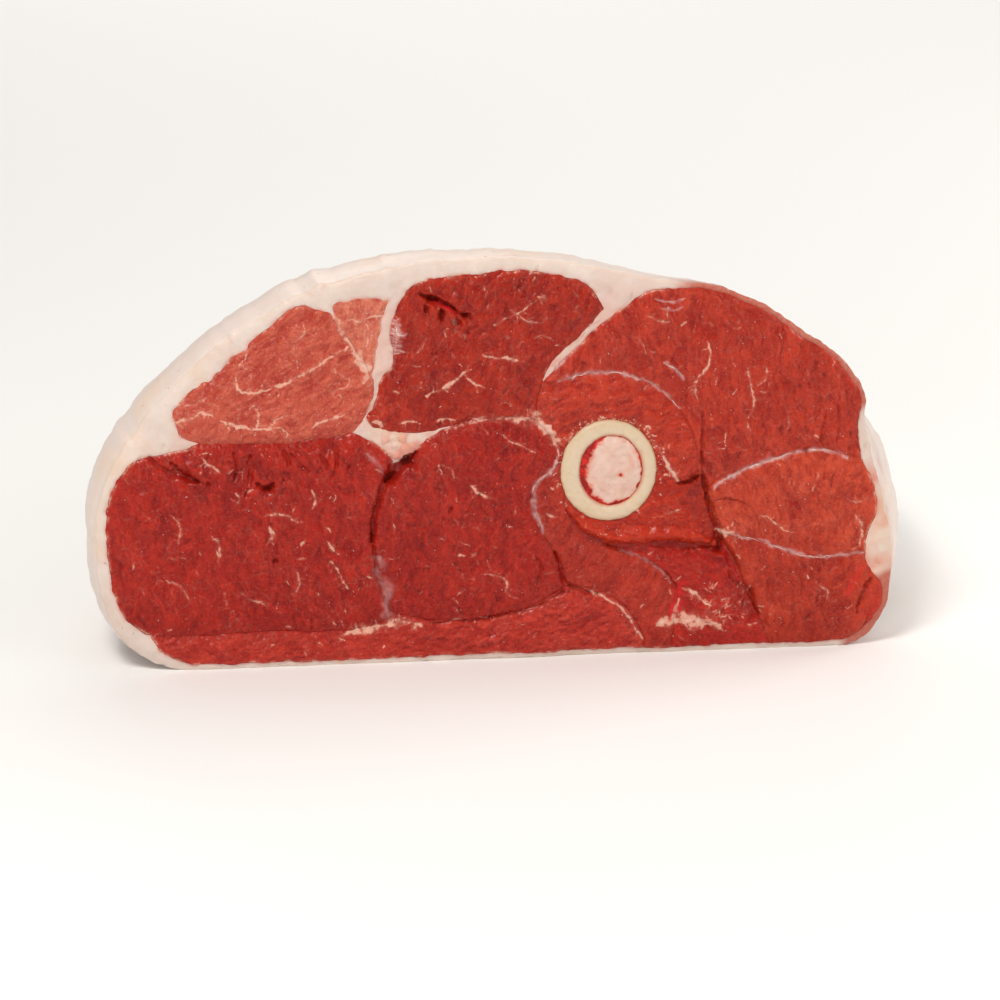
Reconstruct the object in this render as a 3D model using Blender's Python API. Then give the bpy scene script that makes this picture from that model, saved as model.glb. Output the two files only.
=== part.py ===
"""Raw half leg of lamb, bone in: a flat cut face in front, tapering back to a sawn shank end.

Run it with: blender --background --python part.py

The cut face is drawn once as a map of seams. A seam lies between two neighbouring pieces, so the
muscles, the fat cover and the bone fit each other everywhere. Each piece is that map's region carried
down the leg from station to station, so it runs right through the joint.

Lengths are in millimetres until the meshes are written, in metres. On the cut face, u runs to the right
and v upwards from the centre of the thigh bone. The leg runs back along +Y from the cut face.
"""

import math
from dataclasses import dataclass

import bmesh
import bpy

MM = 0.001

# The cut face
FACE_LEFT = -135.0
FACE_RIGHT = 76.3
FACE_TOP = 58.0
BASE = -52.0
LEAN_BASE = BASE + 1.5
FACE_WIDTH = FACE_RIGHT - FACE_LEFT
FACE_MIDDLE = (FACE_RIGHT + FACE_LEFT) / 2
FACE_HEIGHT = FACE_TOP - BASE

# The thigh bone
BONE_RADIUS = 12.8
BONE_TALLER = 1.085
MARROW_RADIUS = 8.7
MARROW_TALLER = 1.15
MARROW_OFFSET = 0.7
BONE_STANDS_OUT = 3.0
PARTING_REACH = 50.0

# How finely the pieces are drawn, and the space between two that touch
HALF_GAP = 0.22
SAMPLE_STEPS = 8
FLATNESS = 0.3
LONGEST_SIDE = 24.0
MOST_MITRE = 2.0
SHARP_EDGE = 40.0


@dataclass(frozen=True)
class Station:
    """One section of the leg, and how the cut face is stretched to fill it.

    left and right are its ends across the leg, crown_left and crown_right its height towards each end,
    shoulder how far its top right is drawn in, lift and rounding how its underside leaves the board.
    """

    depth: float
    left: float
    right: float
    crown_left: float
    crown_right: float
    shoulder: float
    lift: float
    rounding: float
    bone_radius: float


STATIONS = (
    Station(0.0, FACE_LEFT, FACE_RIGHT, FACE_HEIGHT, FACE_HEIGHT, 0.0, 0.0, 0.0, BONE_RADIUS),
    Station(12.0, -137.3, 77.5, 111.5, 107.0, 8.0, 0.0, 0.0, 12.6),
    Station(40.0, -133.5, 85.0, 103.0, 98.0, 24.0, 0.0, 0.0, 12.0),
    Station(80.0, -111.5, 86.5, 88.0, 83.0, 27.0, 0.0, 0.0, 10.8),
    Station(120.0, -77.0, 77.0, 73.5, 69.0, 20.0, 0.0, 1.0, 9.6),
    Station(160.0, -41.0, 60.5, 60.5, 57.0, 12.0, 1.5, 4.0, 8.7),
    Station(190.0, -23.0, 49.5, 51.5, 49.0, 7.0, 4.0, 9.0, 8.2),
)

# Where three pieces meet on the cut face
CORNERS = {
    "eye_back": (-108.0, 11.0),
    "eye_notch": (-73.5, 45.0),
    "wedge_top": (-58.0, 48.0),
    "wedge_tip": (-62.3, 28.0),
    "eye_foot": (-68.0, 12.5),
    "fat_pocket": (-57.5, 3.5),
    "fat_tip": (-41.5, 13.6),
    "outside_top": (-53.5, 50.8),
    "outside_shoulder": (-1.5, 44.3),
    "fat_wedge_tip": (-17.6, 25.0),
    "knuckle_top": (6.0, 46.0),
    "heart_shoulder": (-19.0, 14.5),
    "strip_back": (-122.0, -42.0),
    "strip_rise": (-57.0, -38.5),
    "strip_peak": (-11.3, -32.0),
    "strip_foot": (10.5, LEAN_BASE),
    "inner_foot": (17.8, LEAN_BASE),
    "tail_foot": (44.0, LEAN_BASE),
    "bed_left": (0.0, -21.0),
    "bed_right": (32.0, -24.0),
    "front_split": (30.5, -19.0),
    "front_start": (26.5, -8.0),
    "crescent_tail": (24.2, -2.5),
    "front_top": (67.8, 1.0),
    "front_middle": (69.5, -25.5),
}

# Where the seams between the muscles reach the bone, as angles from its right side, in degrees
BONE_CORNERS = {
    "bone_right": 5.0,
    "bone_upper_left": 155.0,
    "bone_left": 169.0,
    "bone_lower_left": 205.0,
}


@dataclass(frozen=True)
class Seam:
    """The line between two pieces on the cut face, from one corner to another."""

    first: str
    second: str
    start: str
    end: str
    points: tuple = ()


SEAMS = (
    Seam("fat_cover", "eye_round", "eye_back", "eye_notch", (
        (-112.5, 12.5), (-114, 16), (-112.5, 21.5), (-109, 25.5), (-104, 29), (-98.5, 33),
        (-94, 37.5), (-89, 42), (-84, 45.8), (-79, 46.8))),
    Seam("eye_round", "eye_wedge", "eye_notch", "wedge_tip", ((-71, 42), (-68, 37.5), (-65, 32.5))),
    Seam("fat_cover", "eye_round", "wedge_tip", "eye_foot", ((-62.3, 23.5), (-63.3, 19), (-65.3, 15))),
    Seam("eye_round", "inside_round", "eye_foot", "eye_back", (
        (-74, 11.2), (-82, 10.6), (-90, 10.2), (-99, 10.5))),
    Seam("fat_cover", "eye_wedge", "eye_notch", "wedge_top", ((-72, 47.8), (-67, 48.8), (-62, 48.9))),
    Seam("fat_cover", "eye_wedge", "wedge_top", "wedge_tip", ((-59.5, 43.5), (-60.5, 38), (-61.2, 33))),
    Seam("fat_cover", "inside_round", "eye_foot", "fat_pocket", ((-64, 10.5), (-60.5, 8), (-58, 5.5))),
    Seam("fat_cover", "inside_heart", "fat_pocket", "fat_tip", ((-54.5, 4.2), (-51, 7), (-47, 10.5))),
    Seam("fat_cover", "outside_round", "fat_tip", "outside_top", (
        (-46, 12.3), (-51, 11.8), (-57, 12.3), (-62, 13.6), (-64, 16), (-62.3, 18.8), (-61.2, 23),
        (-60, 27), (-57.2, 30), (-56.8, 34), (-57.6, 39), (-56.5, 44), (-54.8, 48))),
    Seam("fat_cover", "outside_round", "outside_top", "outside_shoulder", (
        (-49, 53), (-42, 54), (-34, 54.6), (-26, 55.2), (-18, 54.5), (-11, 53), (-6, 51), (-3.2, 47.8))),
    Seam("fat_cover", "outside_round", "outside_shoulder", "fat_wedge_tip", (
        (-4.5, 40.5), (-8.5, 36.5), (-12.5, 32.5), (-16, 29))),
    Seam("fat_cover", "knuckle", "fat_wedge_tip", "knuckle_top", (
        (-15.3, 27), (-12, 30.5), (-8, 34.5), (-4, 38.3), (0, 41.8))),
    Seam("fat_cover", "knuckle", "knuckle_top", "front_top", (
        (10, 48.6), (16, 49.2), (23, 49), (30, 47.6), (37, 44.8), (44, 41), (51, 35.4), (57, 31.6),
        (62, 27), (66, 21.5), (67.6, 18), (67, 13), (67, 7))),
    Seam("outside_round", "inside_heart", "fat_tip", "heart_shoulder", ((-36, 15), (-30, 15.4), (-24, 15.3))),
    Seam("outside_round", "knuckle_crescent", "heart_shoulder", "fat_wedge_tip", ((-18.9, 19),)),
    Seam("knuckle", "knuckle_crescent", "fat_wedge_tip", "crescent_tail", (
        (-14, 24.6), (-9, 26.2), (-3, 27), (3, 26.5), (9, 24.8), (14.5, 21.3), (19, 16.5), (22, 10.5),
        (23.8, 4))),
    Seam("inside_heart", "knuckle_crescent", "heart_shoulder", "bone_upper_left", ((-16, 10.5),)),
    Seam("knuckle_crescent", "bone_bed", "bone_right", "crescent_tail", ((16, -0.5), (19.5, -3.8), (22.5, -3.6))),
    Seam("inside_heart", "knuckle_inner", "bone_left", "strip_peak", (
        (-16.5, -0.5), (-19.5, -4), (-19.8, -9), (-18, -15), (-15.5, -21), (-12.3, -26.5))),
    Seam("inside_round", "inside_heart", "fat_pocket", "strip_rise", (
        (-60, -2), (-62.2, -8), (-62.8, -15), (-62, -22), (-60.3, -29), (-58.5, -34.5))),
    Seam("inside_heart", "inside_strip", "strip_rise", "strip_peak", (
        (-50, -40), (-42, -40.3), (-34, -40.5), (-26, -39.2), (-18, -36.3))),
    Seam("inside_round", "inside_strip", "strip_rise", "strip_back", (
        (-62, -41), (-70, -42.5), (-80, -42.3), (-92, -42), (-106, -42.5))),
    Seam("fat_cover", "inside_round", "strip_back", "eye_back", (
        (-128.5, -37), (-131.5, -29), (-132.5, -20), (-132.8, -11), (-132, -4), (-129.5, 1.5),
        (-126, 6), (-120, 7.8), (-114, 8.8))),
    Seam("fat_cover", "inside_strip", "strip_back", "strip_foot", (
        (-119, -47), (-112, -50), (-104, LEAN_BASE), (-60, LEAN_BASE), (-20, LEAN_BASE))),
    Seam("inside_strip", "knuckle_inner", "strip_peak", "strip_foot", (
        (-7, -32.5), (-2, -33.8), (3, -37), (7, -41.5), (9.5, -46))),
    Seam("fat_cover", "knuckle_inner", "strip_foot", "inner_foot"),
    Seam("fat_cover", "knuckle_tail", "inner_foot", "tail_foot"),
    Seam("bone_bed", "knuckle_inner", "bone_lower_left", "bed_left", ((-11.3, -10.5), (-8, -15.5), (-3.5, -19))),
    Seam("bone_bed", "knuckle_tail", "bed_left", "bed_right", ((7, -20.8), (15, -20.6), (24, -22))),
    Seam("knuckle_inner", "knuckle_tail", "bed_left", "inner_foot", (
        (6, -23.5), (12, -26.8), (16.5, -30.5), (19, -35), (18.5, -40), (17.8, -45))),
    Seam("knuckle", "bone_bed", "crescent_tail", "front_start", ((25.2, -5.2),)),
    Seam("front_upper", "bone_bed", "front_start", "front_split", ((28.3, -13.5),)),
    Seam("front_lower", "bone_bed", "front_split", "bed_right"),
    Seam("front_lower", "knuckle_tail", "bed_right", "tail_foot", ((35, -30), (38.5, -37), (41.5, -43.5))),
    Seam("fat_cover", "front_lower", "tail_foot", "front_middle", (
        (56, LEAN_BASE), (64, -50), (70, -46.5), (73.5, -41), (74.3, -36), (72.5, -32), (70.3, -29))),
    Seam("front_upper", "front_lower", "front_split", "front_middle", (
        (36, -20.2), (43, -21.8), (49, -24.3), (56, -26), (63, -25.8))),
    Seam("fat_cover", "front_upper", "front_middle", "front_top", (
        (70, -21), (71.3, -17), (72.5, -13), (71, -6), (69, -1))),
    Seam("knuckle", "front_upper", "front_start", "front_top", (
        (28.5, -4), (34, -1.5), (41, 0.8), (49, 3), (57, 4), (63, 2.6))),
)

BONE_SEAMS = (
    ("knuckle_crescent", "bone_right", "bone_upper_left"),
    ("inside_heart", "bone_upper_left", "bone_left"),
    ("knuckle_inner", "bone_left", "bone_lower_left"),
    ("bone_bed", "bone_lower_left", "bone_right"),
)

# The outer edge of the cut face, anticlockwise from the left end of its flat underside
OUTSIDE = (
    (-112, BASE), (-30, BASE), (62, BASE), (68, -50.5), (73.5, -45), (75.8, -38), (76.3, -31),
    (76.2, -23), (75, -15), (73, -7.5), (71, 0), (69.3, 7), (68.6, 13), (68.8, 18), (67, 22.3), (63, 28),
    (58, 32.5), (52, 36.4), (45, 42), (38, 45.8), (31, 48.6), (24, 50), (16, 51), (7, 53), (-3, 55.2),
    (-13, 57), (-24, 58), (-35, 58), (-46, 57.8), (-56, 57), (-66, 55), (-75, 52.5), (-84, 48.5),
    (-93, 43), (-102, 36.5), (-111, 29), (-119, 21), (-125.5, 13), (-130, 6), (-133.5, -2), (-135, -10),
    (-135, -22), (-133.5, -34), (-129, -43), (-121, -49.5),
)

MUSCLES = (
    "eye_round", "eye_wedge", "outside_round", "inside_round", "inside_heart", "inside_strip", "knuckle",
    "knuckle_crescent", "bone_bed", "knuckle_inner", "knuckle_tail", "front_upper", "front_lower",
)

# Base colour and roughness of each finish
LEAN = ("lean_meat", (0.40, 0.035, 0.025), 0.38)
PALE_LEAN = ("pale_lean_meat", (0.52, 0.085, 0.055), 0.38)
FAT = ("lamb_fat", (0.85, 0.70, 0.60), 0.42)
BONE = ("sawn_bone", (0.80, 0.68, 0.46), 0.55)
MARROW = ("bone_marrow", (0.80, 0.50, 0.42), 0.35)
PALE_MUSCLES = ("eye_round", "eye_wedge")


def distance(a, b):
    """The distance between two points of the cut face."""
    return math.hypot(b[0] - a[0], b[1] - a[1])


def smooth_line(points):
    """A smooth line through the points, with SAMPLE_STEPS short sides between each two of them."""
    steps = [distance(a, b) for a, b in zip(points, points[1:])]
    slopes = []
    for i in range(len(points)):
        before, after = max(i - 1, 0), min(i + 1, len(points) - 1)
        span = sum(steps[before:after])
        slopes.append([(points[after][k] - points[before][k]) / span for k in (0, 1)])
    line = []
    for i, step in enumerate(steps):
        for k in range(SAMPLE_STEPS):
            t = k / SAMPLE_STEPS
            weights = (2 * t**3 - 3 * t**2 + 1, 3 * t**2 - 2 * t**3, t**3 - 2 * t**2 + t, t**3 - t**2)
            line.append(tuple(
                weights[0] * points[i][c] + weights[1] * points[i + 1][c]
                + step * (weights[2] * slopes[i][c] + weights[3] * slopes[i + 1][c])
                for c in (0, 1)
            ))
    return line + [tuple(points[-1])]


def plain_line(line):
    """The fewest of the line's own points that stay within FLATNESS of it."""
    a, b = line[0], line[-1]
    length = distance(a, b)
    if length == 0:
        off = [distance(a, p) for p in line]
    else:
        off = [abs((b[0] - a[0]) * (p[1] - a[1]) - (b[1] - a[1]) * (p[0] - a[0])) / length for p in line]
    widest = max(range(len(line)), key=lambda i: off[i])
    if off[widest] <= FLATNESS and length > LONGEST_SIDE and len(line) > 2:
        widest = len(line) // 2
    elif off[widest] <= FLATNESS:
        return [a, b]
    return plain_line(line[: widest + 1])[:-1] + plain_line(line[widest:])


def ring_point(angle, radius, taller, offset=0.0):
    """A point of a bone outline at an angle in degrees from its right side."""
    turn = math.radians(angle)
    return (offset + radius * math.cos(turn), radius * taller * math.sin(turn))


def ring_line(start, end, radius, taller, offset=0.0):
    """Points round a bone outline from one angle on to another, about 24 to a full turn."""
    span = (end - start) % 360 or 360
    sides = max(1, round(span / 15))
    return [ring_point(start + span * i / sides, radius, taller, offset) for i in range(sides + 1)]


def seam_lines():
    """Each seam of the cut face as (its two pieces, its two corners, its line)."""
    corners = dict(CORNERS)
    for name, angle in BONE_CORNERS.items():
        corners[name] = ring_point(angle, BONE_RADIUS, BONE_TALLER)
    lines = []
    for seam in SEAMS:
        points = [corners[seam.start], *seam.points, corners[seam.end]]
        line = plain_line(smooth_line(points)) if seam.points else points
        lines.append(((seam.first, seam.second), (seam.start, seam.end), line))
    for muscle, start, end in BONE_SEAMS:
        line = ring_line(BONE_CORNERS[start], BONE_CORNERS[end], BONE_RADIUS, BONE_TALLER)
        lines.append((("femur", muscle), (start, end), line))
    return lines


def closed_loop(piece, lines):
    """The seams round a piece, joined end to end into one closed loop of points."""
    left = [(ends, line) for pieces, ends, line in lines if piece in pieces]
    (start, here), loop = left[0][0], list(left[0][1])
    del left[0]
    while here != start:
        following = next(item for item in left if here in item[0])
        left.remove(following)
        ends, line = following
        forward = ends[0] == here
        here = ends[1] if forward else ends[0]
        loop += (line if forward else line[::-1])[1:]
    if left:
        raise ValueError(f"{piece} has seams that are not joined to the others")
    return loop[:-1]


def area(loop):
    """The signed area of a loop, positive if it runs anticlockwise."""
    return sum(a[0] * b[1] - b[0] * a[1] for a, b in zip(loop, loop[1:] + loop[:1])) / 2


def turned(loop, anticlockwise):
    """The loop, running the way that is asked for."""
    return loop if (area(loop) > 0) == anticlockwise else loop[::-1]


def drawn_in(loop, amount):
    """The loop moved to its left by amount, which makes an anticlockwise one smaller."""
    moved = []
    for before, here, after in zip(loop[-1:] + loop[:-1], loop, loop[1:] + loop[:1]):
        normals = []
        for a, b in ((before, here), (here, after)):
            side = distance(a, b)
            normals.append(((a[1] - b[1]) / side, (b[0] - a[0]) / side))
        (ax, ay), (bx, by) = normals
        stretch = amount / max(1 + ax * bx + ay * by, 2 / MOST_MITRE**2)
        moved.append((here[0] + (ax + bx) * stretch, here[1] + (ay + by) * stretch))
    return moved


def carried(point, station, extra_depth=0.0):
    """Where a point of the cut face lies at a station, with the bone kept round and the meat parted by it."""
    u, v = point
    x_scale = (station.right - station.left) / FACE_WIDTH
    share = (u - FACE_LEFT) / FACE_WIDTH
    z_scale = (station.crown_left + (station.crown_right - station.crown_left) * share) / FACE_HEIGHT
    parting = (PARTING_REACH - math.hypot(u, v)) / (PARTING_REACH - BONE_RADIUS)
    hold = min(1.0, max(0.0, parting)) ** 2
    bone_scale = station.bone_radius / BONE_RADIUS
    u += u * (bone_scale / x_scale - 1) * hold
    v += v * (bone_scale / z_scale - 1) * hold
    height = v - BASE
    across = (u - FACE_MIDDLE) / (FACE_WIDTH / 2)
    curl = station.rounding * across**2 * max(0.0, 1 - height / FACE_HEIGHT) ** 2
    drawn = station.shoulder * max(0.0, u / FACE_RIGHT) * max(0.0, v / FACE_TOP)
    x = station.left + (u - FACE_LEFT) * x_scale - drawn
    return (x * MM, (station.depth + extra_depth) * MM, (station.lift + height * z_scale + curl) * MM)


def add_wall(bm, loop, outline, stations, stands_out):
    """One wall of a piece: the loop carried from station to station. Returns its first and last rings.

    outline is the seam line that the loop was drawn in from. It picks each quad's diagonal, so that two
    pieces on a seam are cut into the same triangles and keep their gap.
    """
    rings = []
    for number, station in enumerate(stations):
        extra = stands_out if number == len(stations) - 1 else 0.0
        rings.append([bm.verts.new(carried(point, station, extra)) for point in loop])
    for near, far in zip(rings, rings[1:]):
        for i in range(len(loop)):
            j = (i + 1) % len(loop)
            if outline[i] < outline[j]:
                corners = ((near[i], near[j], far[j]), (near[i], far[j], far[i]))
            else:
                corners = ((near[j], far[i], near[i]), (near[j], far[j], far[i]))
            for corner in corners:
                bm.faces.new(corner)
    return rings[0], rings[-1]


def fill(bm, rings):
    """Closes one end of a piece between its ring of points and any rings inside it."""
    edges = []
    for ring in rings:
        edges += [bm.edges.get((a, b)) for a, b in zip(ring, ring[1:] + ring[:1])]
    bmesh.ops.triangle_fill(bm, use_beauty=True, use_dissolve=False, edges=edges)


def finish_material(finish):
    """The plain material of a finish, made the first time it is asked for."""
    name, colour, roughness = finish
    material = bpy.data.materials.get(name)
    if material is None:
        material = bpy.data.materials.new(name)
        material.use_nodes = True
        shader = material.node_tree.nodes["Principled BSDF"]
        shader.inputs["Base Color"].default_value = (*colour, 1.0)
        shader.inputs["Roughness"].default_value = roughness
        shader.inputs["Metallic"].default_value = 0.0
        material.diffuse_color = (*colour, 1.0)
    return material


def add_piece(name, loops, finish, stands_out=0.0):
    """One piece of the leg, from (loop, distance to draw it in) pairs: its outer wall and any inner ones."""
    bm = bmesh.new()
    ends = [add_wall(bm, drawn_in(loop, amount), loop, STATIONS, stands_out) for loop, amount in loops]
    fill(bm, [first for first, _ in ends])
    fill(bm, [last for _, last in ends])
    bmesh.ops.recalc_face_normals(bm, faces=bm.faces)
    mesh = bpy.data.meshes.new(name)
    bm.to_mesh(mesh)
    bm.free()
    mesh.shade_smooth()
    mesh.set_sharp_from_angle(angle=math.radians(SHARP_EDGE))
    mesh.materials.append(finish_material(finish))
    piece = bpy.data.objects.new(name, mesh)
    bpy.context.scene.collection.objects.link(piece)
    return piece


def stand_on_origin(pieces):
    """Moves the meshes so that the origin is at the middle of the underside of the leg's box."""
    corners = [vertex.co for piece in pieces for vertex in piece.data.vertices]
    low = [min(co[k] for co in corners) for k in range(3)]
    high = [max(co[k] for co in corners) for k in range(3)]
    shift = (-(low[0] + high[0]) / 2, -(low[1] + high[1]) / 2, -low[2])
    for piece in pieces:
        for vertex in piece.data.vertices:
            vertex.co = [vertex.co[k] + shift[k] for k in range(3)]


def build():
    """Builds the fat cover, the muscles, the thigh bone and its marrow."""
    for old in list(bpy.data.objects):
        bpy.data.objects.remove(old)
    lines = seam_lines()
    outside = plain_line(smooth_line([*OUTSIDE, OUTSIDE[0]]))[:-1]
    lean_edge = closed_loop("fat_cover", lines)
    pieces = [add_piece("fat_cover", [
        (turned(outside, True), 0.0),
        (turned(lean_edge, False), HALF_GAP),
    ], FAT)]
    for name in MUSCLES:
        finish = PALE_LEAN if name in PALE_MUSCLES else LEAN
        pieces.append(add_piece(name, [(turned(closed_loop(name, lines), True), HALF_GAP)], finish))
    cavity = ring_line(0, 0, MARROW_RADIUS, MARROW_TALLER, MARROW_OFFSET)[:-1]
    pieces.append(add_piece("femur", [
        (turned(closed_loop("femur", lines), True), HALF_GAP),
        (turned(cavity, False), 0.0),
    ], BONE, BONE_STANDS_OUT))
    pieces.append(add_piece("marrow", [(turned(cavity, True), 2 * HALF_GAP)], MARROW, BONE_STANDS_OUT - 1))
    stand_on_origin(pieces)


build()
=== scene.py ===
"""Raw half leg of lamb, bone in: every surface of it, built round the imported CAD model.

The cut face is one map shared by all pieces. On it, u runs to the right and v upwards from the centre of
the thigh bone, in millimetres. A piece takes its outline from its CAD node's front end, gets its relief
and colour from the one CutSurface, and is carried down the leg by the one LegForm. So neighbours meet
along their seams on the cut face, down the leg and at the shank end.
"""

import logging
import math
from dataclasses import dataclass, field
from enum import Enum

import bpy
import numpy as np
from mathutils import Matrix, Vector
from mathutils.bvhtree import BVHTree
from mathutils.geometry import delaunay_2d_cdt
from mathutils.kdtree import KDTree


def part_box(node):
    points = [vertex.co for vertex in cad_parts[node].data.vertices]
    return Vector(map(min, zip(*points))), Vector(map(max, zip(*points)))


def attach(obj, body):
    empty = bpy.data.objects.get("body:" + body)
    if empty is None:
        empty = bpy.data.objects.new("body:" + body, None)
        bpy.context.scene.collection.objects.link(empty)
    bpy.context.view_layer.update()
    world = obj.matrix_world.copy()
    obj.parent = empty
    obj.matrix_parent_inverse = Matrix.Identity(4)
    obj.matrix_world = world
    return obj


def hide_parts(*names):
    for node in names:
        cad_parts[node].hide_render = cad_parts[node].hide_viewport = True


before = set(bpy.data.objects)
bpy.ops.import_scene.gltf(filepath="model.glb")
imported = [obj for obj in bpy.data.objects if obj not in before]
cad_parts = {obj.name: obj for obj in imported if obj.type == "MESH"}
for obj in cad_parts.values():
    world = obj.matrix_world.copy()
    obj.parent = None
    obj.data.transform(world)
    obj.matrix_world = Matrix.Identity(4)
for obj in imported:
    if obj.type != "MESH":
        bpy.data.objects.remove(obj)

LOG = logging.getLogger("leg_of_lamb")
MM = 0.001
FAR = 9.0  # Farther than any seam or cell wall that matters, in the units of the distance
Array = np.ndarray
Ending = tuple[Array, dict[str, Array]]
Spot = tuple[float, float]
Points = list[Spot]
Triple = tuple[float, float, float]
Colour = Triple
Socket = bpy.types.NodeSocket


class Noise:
    """Smooth noise and cell patterns that come out the same on every run."""

    def __init__(self, seed: int) -> None:
        """Keep the seed that tells one pattern from another."""
        self.seed = seed

    def lattice(self, i: Array, j: Array, k: Array | int = 0) -> Array:
        """Give each whole-number place a fixed value.

        Args:
            i: Whole numbers along the first axis.
            j: Whole numbers along the second axis.
            k: Whole numbers along the third axis, or one layer's number.

        Returns:
            A value from -1 to 1 for each place.
        """
        mask = 0xFFFFFFFF
        h = (i * 374761393 + j * 668265263 + k * 1440662683 + self.seed * 974634777) & mask
        h = ((h ^ (h >> 13)) * 1274126177) & mask
        h = ((h ^ (h >> 16)) * 374761393) & mask
        return (h ^ (h >> 15)) / 0x7FFFFFFF - 1.0

    def smooth(self, x: Array, y: Array, size: float, octaves: int = 1,
               z: Array | None = None) -> Array:
        """Evaluate smooth noise.

        Args:
            x: Places along the first axis, in mm.
            y: Places along the second axis, in mm.
            size: The length of the largest bumps, in mm.
            octaves: How many layers there are, each half as long and half as strong as the last.
            z: Places along the third axis, in mm, or None for a flat pattern.

        Returns:
            A value from about -1 to 1 for each place.
        """
        total, strength, reach = np.zeros(np.shape(x)), 1.0, 0.0
        for octave in range(octaves):
            step = size / 2**octave
            axes = [x / step + 17.3 * octave, y / step - 9.1 * octave]
            if z is not None:
                axes.append(z / step + 5.7 * octave)
            total += strength * self._blend(axes, octave * 101)
            reach += strength
            strength *= 0.5
        return total / reach * 1.3

    def at(self, uv: Array, size: float, octaves: int = 1) -> Array:
        """Evaluate smooth noise at points of the cut face."""
        return self.smooth(uv[:, 0], uv[:, 1], size, octaves)

    def pair(self, uv: Array, size: float, octaves: int, apart: Spot) -> Array:
        """Evaluate two unlike patterns side by side, the second one read some way apart."""
        return np.stack([self.at(uv, size, octaves), self.at(uv + apart, size, octaves)], axis=1)

    def _blend(self, axes: list[Array], layer: int) -> Array:
        """Blend the lattice values round each place, one corner of its lattice cell at a time.

        Args:
            axes: The places, in lattice cells, one array for each axis.
            layer: The noise's layer.

        Returns:
            A value for each place.
        """
        low = [np.floor(a).astype(np.int64) for a in axes]
        part = [a - b for a, b in zip(axes, low)]
        part = [t * t * t * (t * (t * 6 - 15) + 10) for t in part]
        total = np.zeros(np.shape(axes[0]))
        for corner in range(2 ** len(axes)):
            bits = [(corner >> n) & 1 for n in range(len(axes))]
            weight = np.ones(np.shape(axes[0]))
            for bit, t in zip(bits, part):
                weight = weight * (t if bit else 1 - t)
            spots = [a + bit for a, bit in zip(low, bits)]
            third = spots[2] * 7 + layer if len(spots) > 2 else layer
            total += weight * self.lattice(spots[0], spots[1], third)
        return total

    def cells(self, x: Array, y: Array) -> tuple[Array, Array, Array]:
        """Divide the plane into cells about one unit across.

        Args:
            x: Places along the first axis, in cell widths.
            y: Places along the second axis, in cell widths.

        Returns:
            The distance to the cell's middle, the nearness to its wall (0 at the wall), and a value
            from -1 to 1 that is the cell's own.
        """
        i, j = np.floor(x).astype(np.int64), np.floor(y).astype(np.int64)
        first, second = np.full(np.shape(x), FAR), np.full(np.shape(x), FAR)
        own = np.zeros(np.shape(x))
        for di in (-1, 0, 1):
            for dj in (-1, 0, 1):
                ci, cj = i + di, j + dj
                away = np.hypot(ci + 0.5 + 0.45 * self.lattice(ci, cj, 1) - x,
                                cj + 0.5 + 0.45 * self.lattice(ci, cj, 2) - y)
                nearer = away < first
                second = np.where(nearer, first, np.minimum(second, away))
                own = np.where(nearer, self.lattice(ci, cj, 3), own)
                first = np.where(nearer, away, first)
        return first, second - first, own


def ramp(value: Array, low: float, high: float) -> Array:
    """Rise smoothly from 0 at low to 1 at high."""
    t = np.clip((value - low) / (high - low), 0.0, 1.0)
    return t * t * (3 - 2 * t)


def bell(away: Array, width: float) -> Array:
    """Fall from 1 at 0 to almost nothing at twice the width."""
    return np.exp(-((away / width) ** 2))


def blob(uv: Array, middle: Spot, size: Spot) -> Array:
    """Mark a soft spot of the cut face, 1 at its middle."""
    return np.exp(-np.sum(((uv - middle) / size) ** 2, axis=1))


def way(turn: float) -> Array:
    """Point in a direction, given in radians."""
    return np.array([math.cos(turn), math.sin(turn)])


def run_of(line: Array) -> Array:
    """Measure how far along a line each of its points is."""
    return np.concatenate([[0.0], np.cumsum(np.linalg.norm(np.diff(line, axis=0), axis=1))])


def resample(points: Array, step: float, closed: bool) -> Array:
    """Space points evenly along a line.

    Args:
        points: The line's points, one row each.
        step: The distance between two points, in mm.
        closed: True where the last point joins the first.

    Returns:
        The evenly spaced points. A closed line does not repeat its first.
    """
    line = np.vstack([points, points[:1]]) if closed else points
    run = run_of(line)
    count = max(2, round(run[-1] / step))
    at = np.linspace(0.0, run[-1], count + 1)
    even = np.stack([np.interp(at, run, line[:, n]) for n in range(line.shape[1])], axis=1)
    return even[:-1] if closed else even


def spline(points: Array, step: float) -> Array:
    """Draw a smooth line through points.

    Args:
        points: The points to pass through, one row each.
        step: The distance between two points of the result, in mm.

    Returns:
        Evenly spaced points on the smooth line, with both ends kept.
    """
    if len(points) < 3:
        return resample(points, step, closed=False)
    sides = np.linalg.norm(np.diff(points, axis=0), axis=1)
    slopes = np.empty_like(points)
    slopes[1:-1] = (points[2:] - points[:-2]) / (sides[1:] + sides[:-1])[:, None]
    slopes[0] = 1.5 * (points[1] - points[0]) / sides[0] - 0.5 * slopes[1]
    slopes[-1] = 1.5 * (points[-1] - points[-2]) / sides[-1] - 0.5 * slopes[-2]
    t = np.linspace(0.0, 1.0, 13)[:-1, None]
    pieces = []
    for n, side in enumerate(sides):
        pieces.append((2 * t**3 - 3 * t**2 + 1) * points[n] + (3 * t**2 - 2 * t**3) * points[n + 1]
                      + side * ((t**3 - 2 * t**2 + t) * slopes[n] + (t**3 - t**2) * slopes[n + 1]))
    pieces.append(points[-1:])
    return resample(np.vstack(pieces), step, closed=False)


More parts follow.
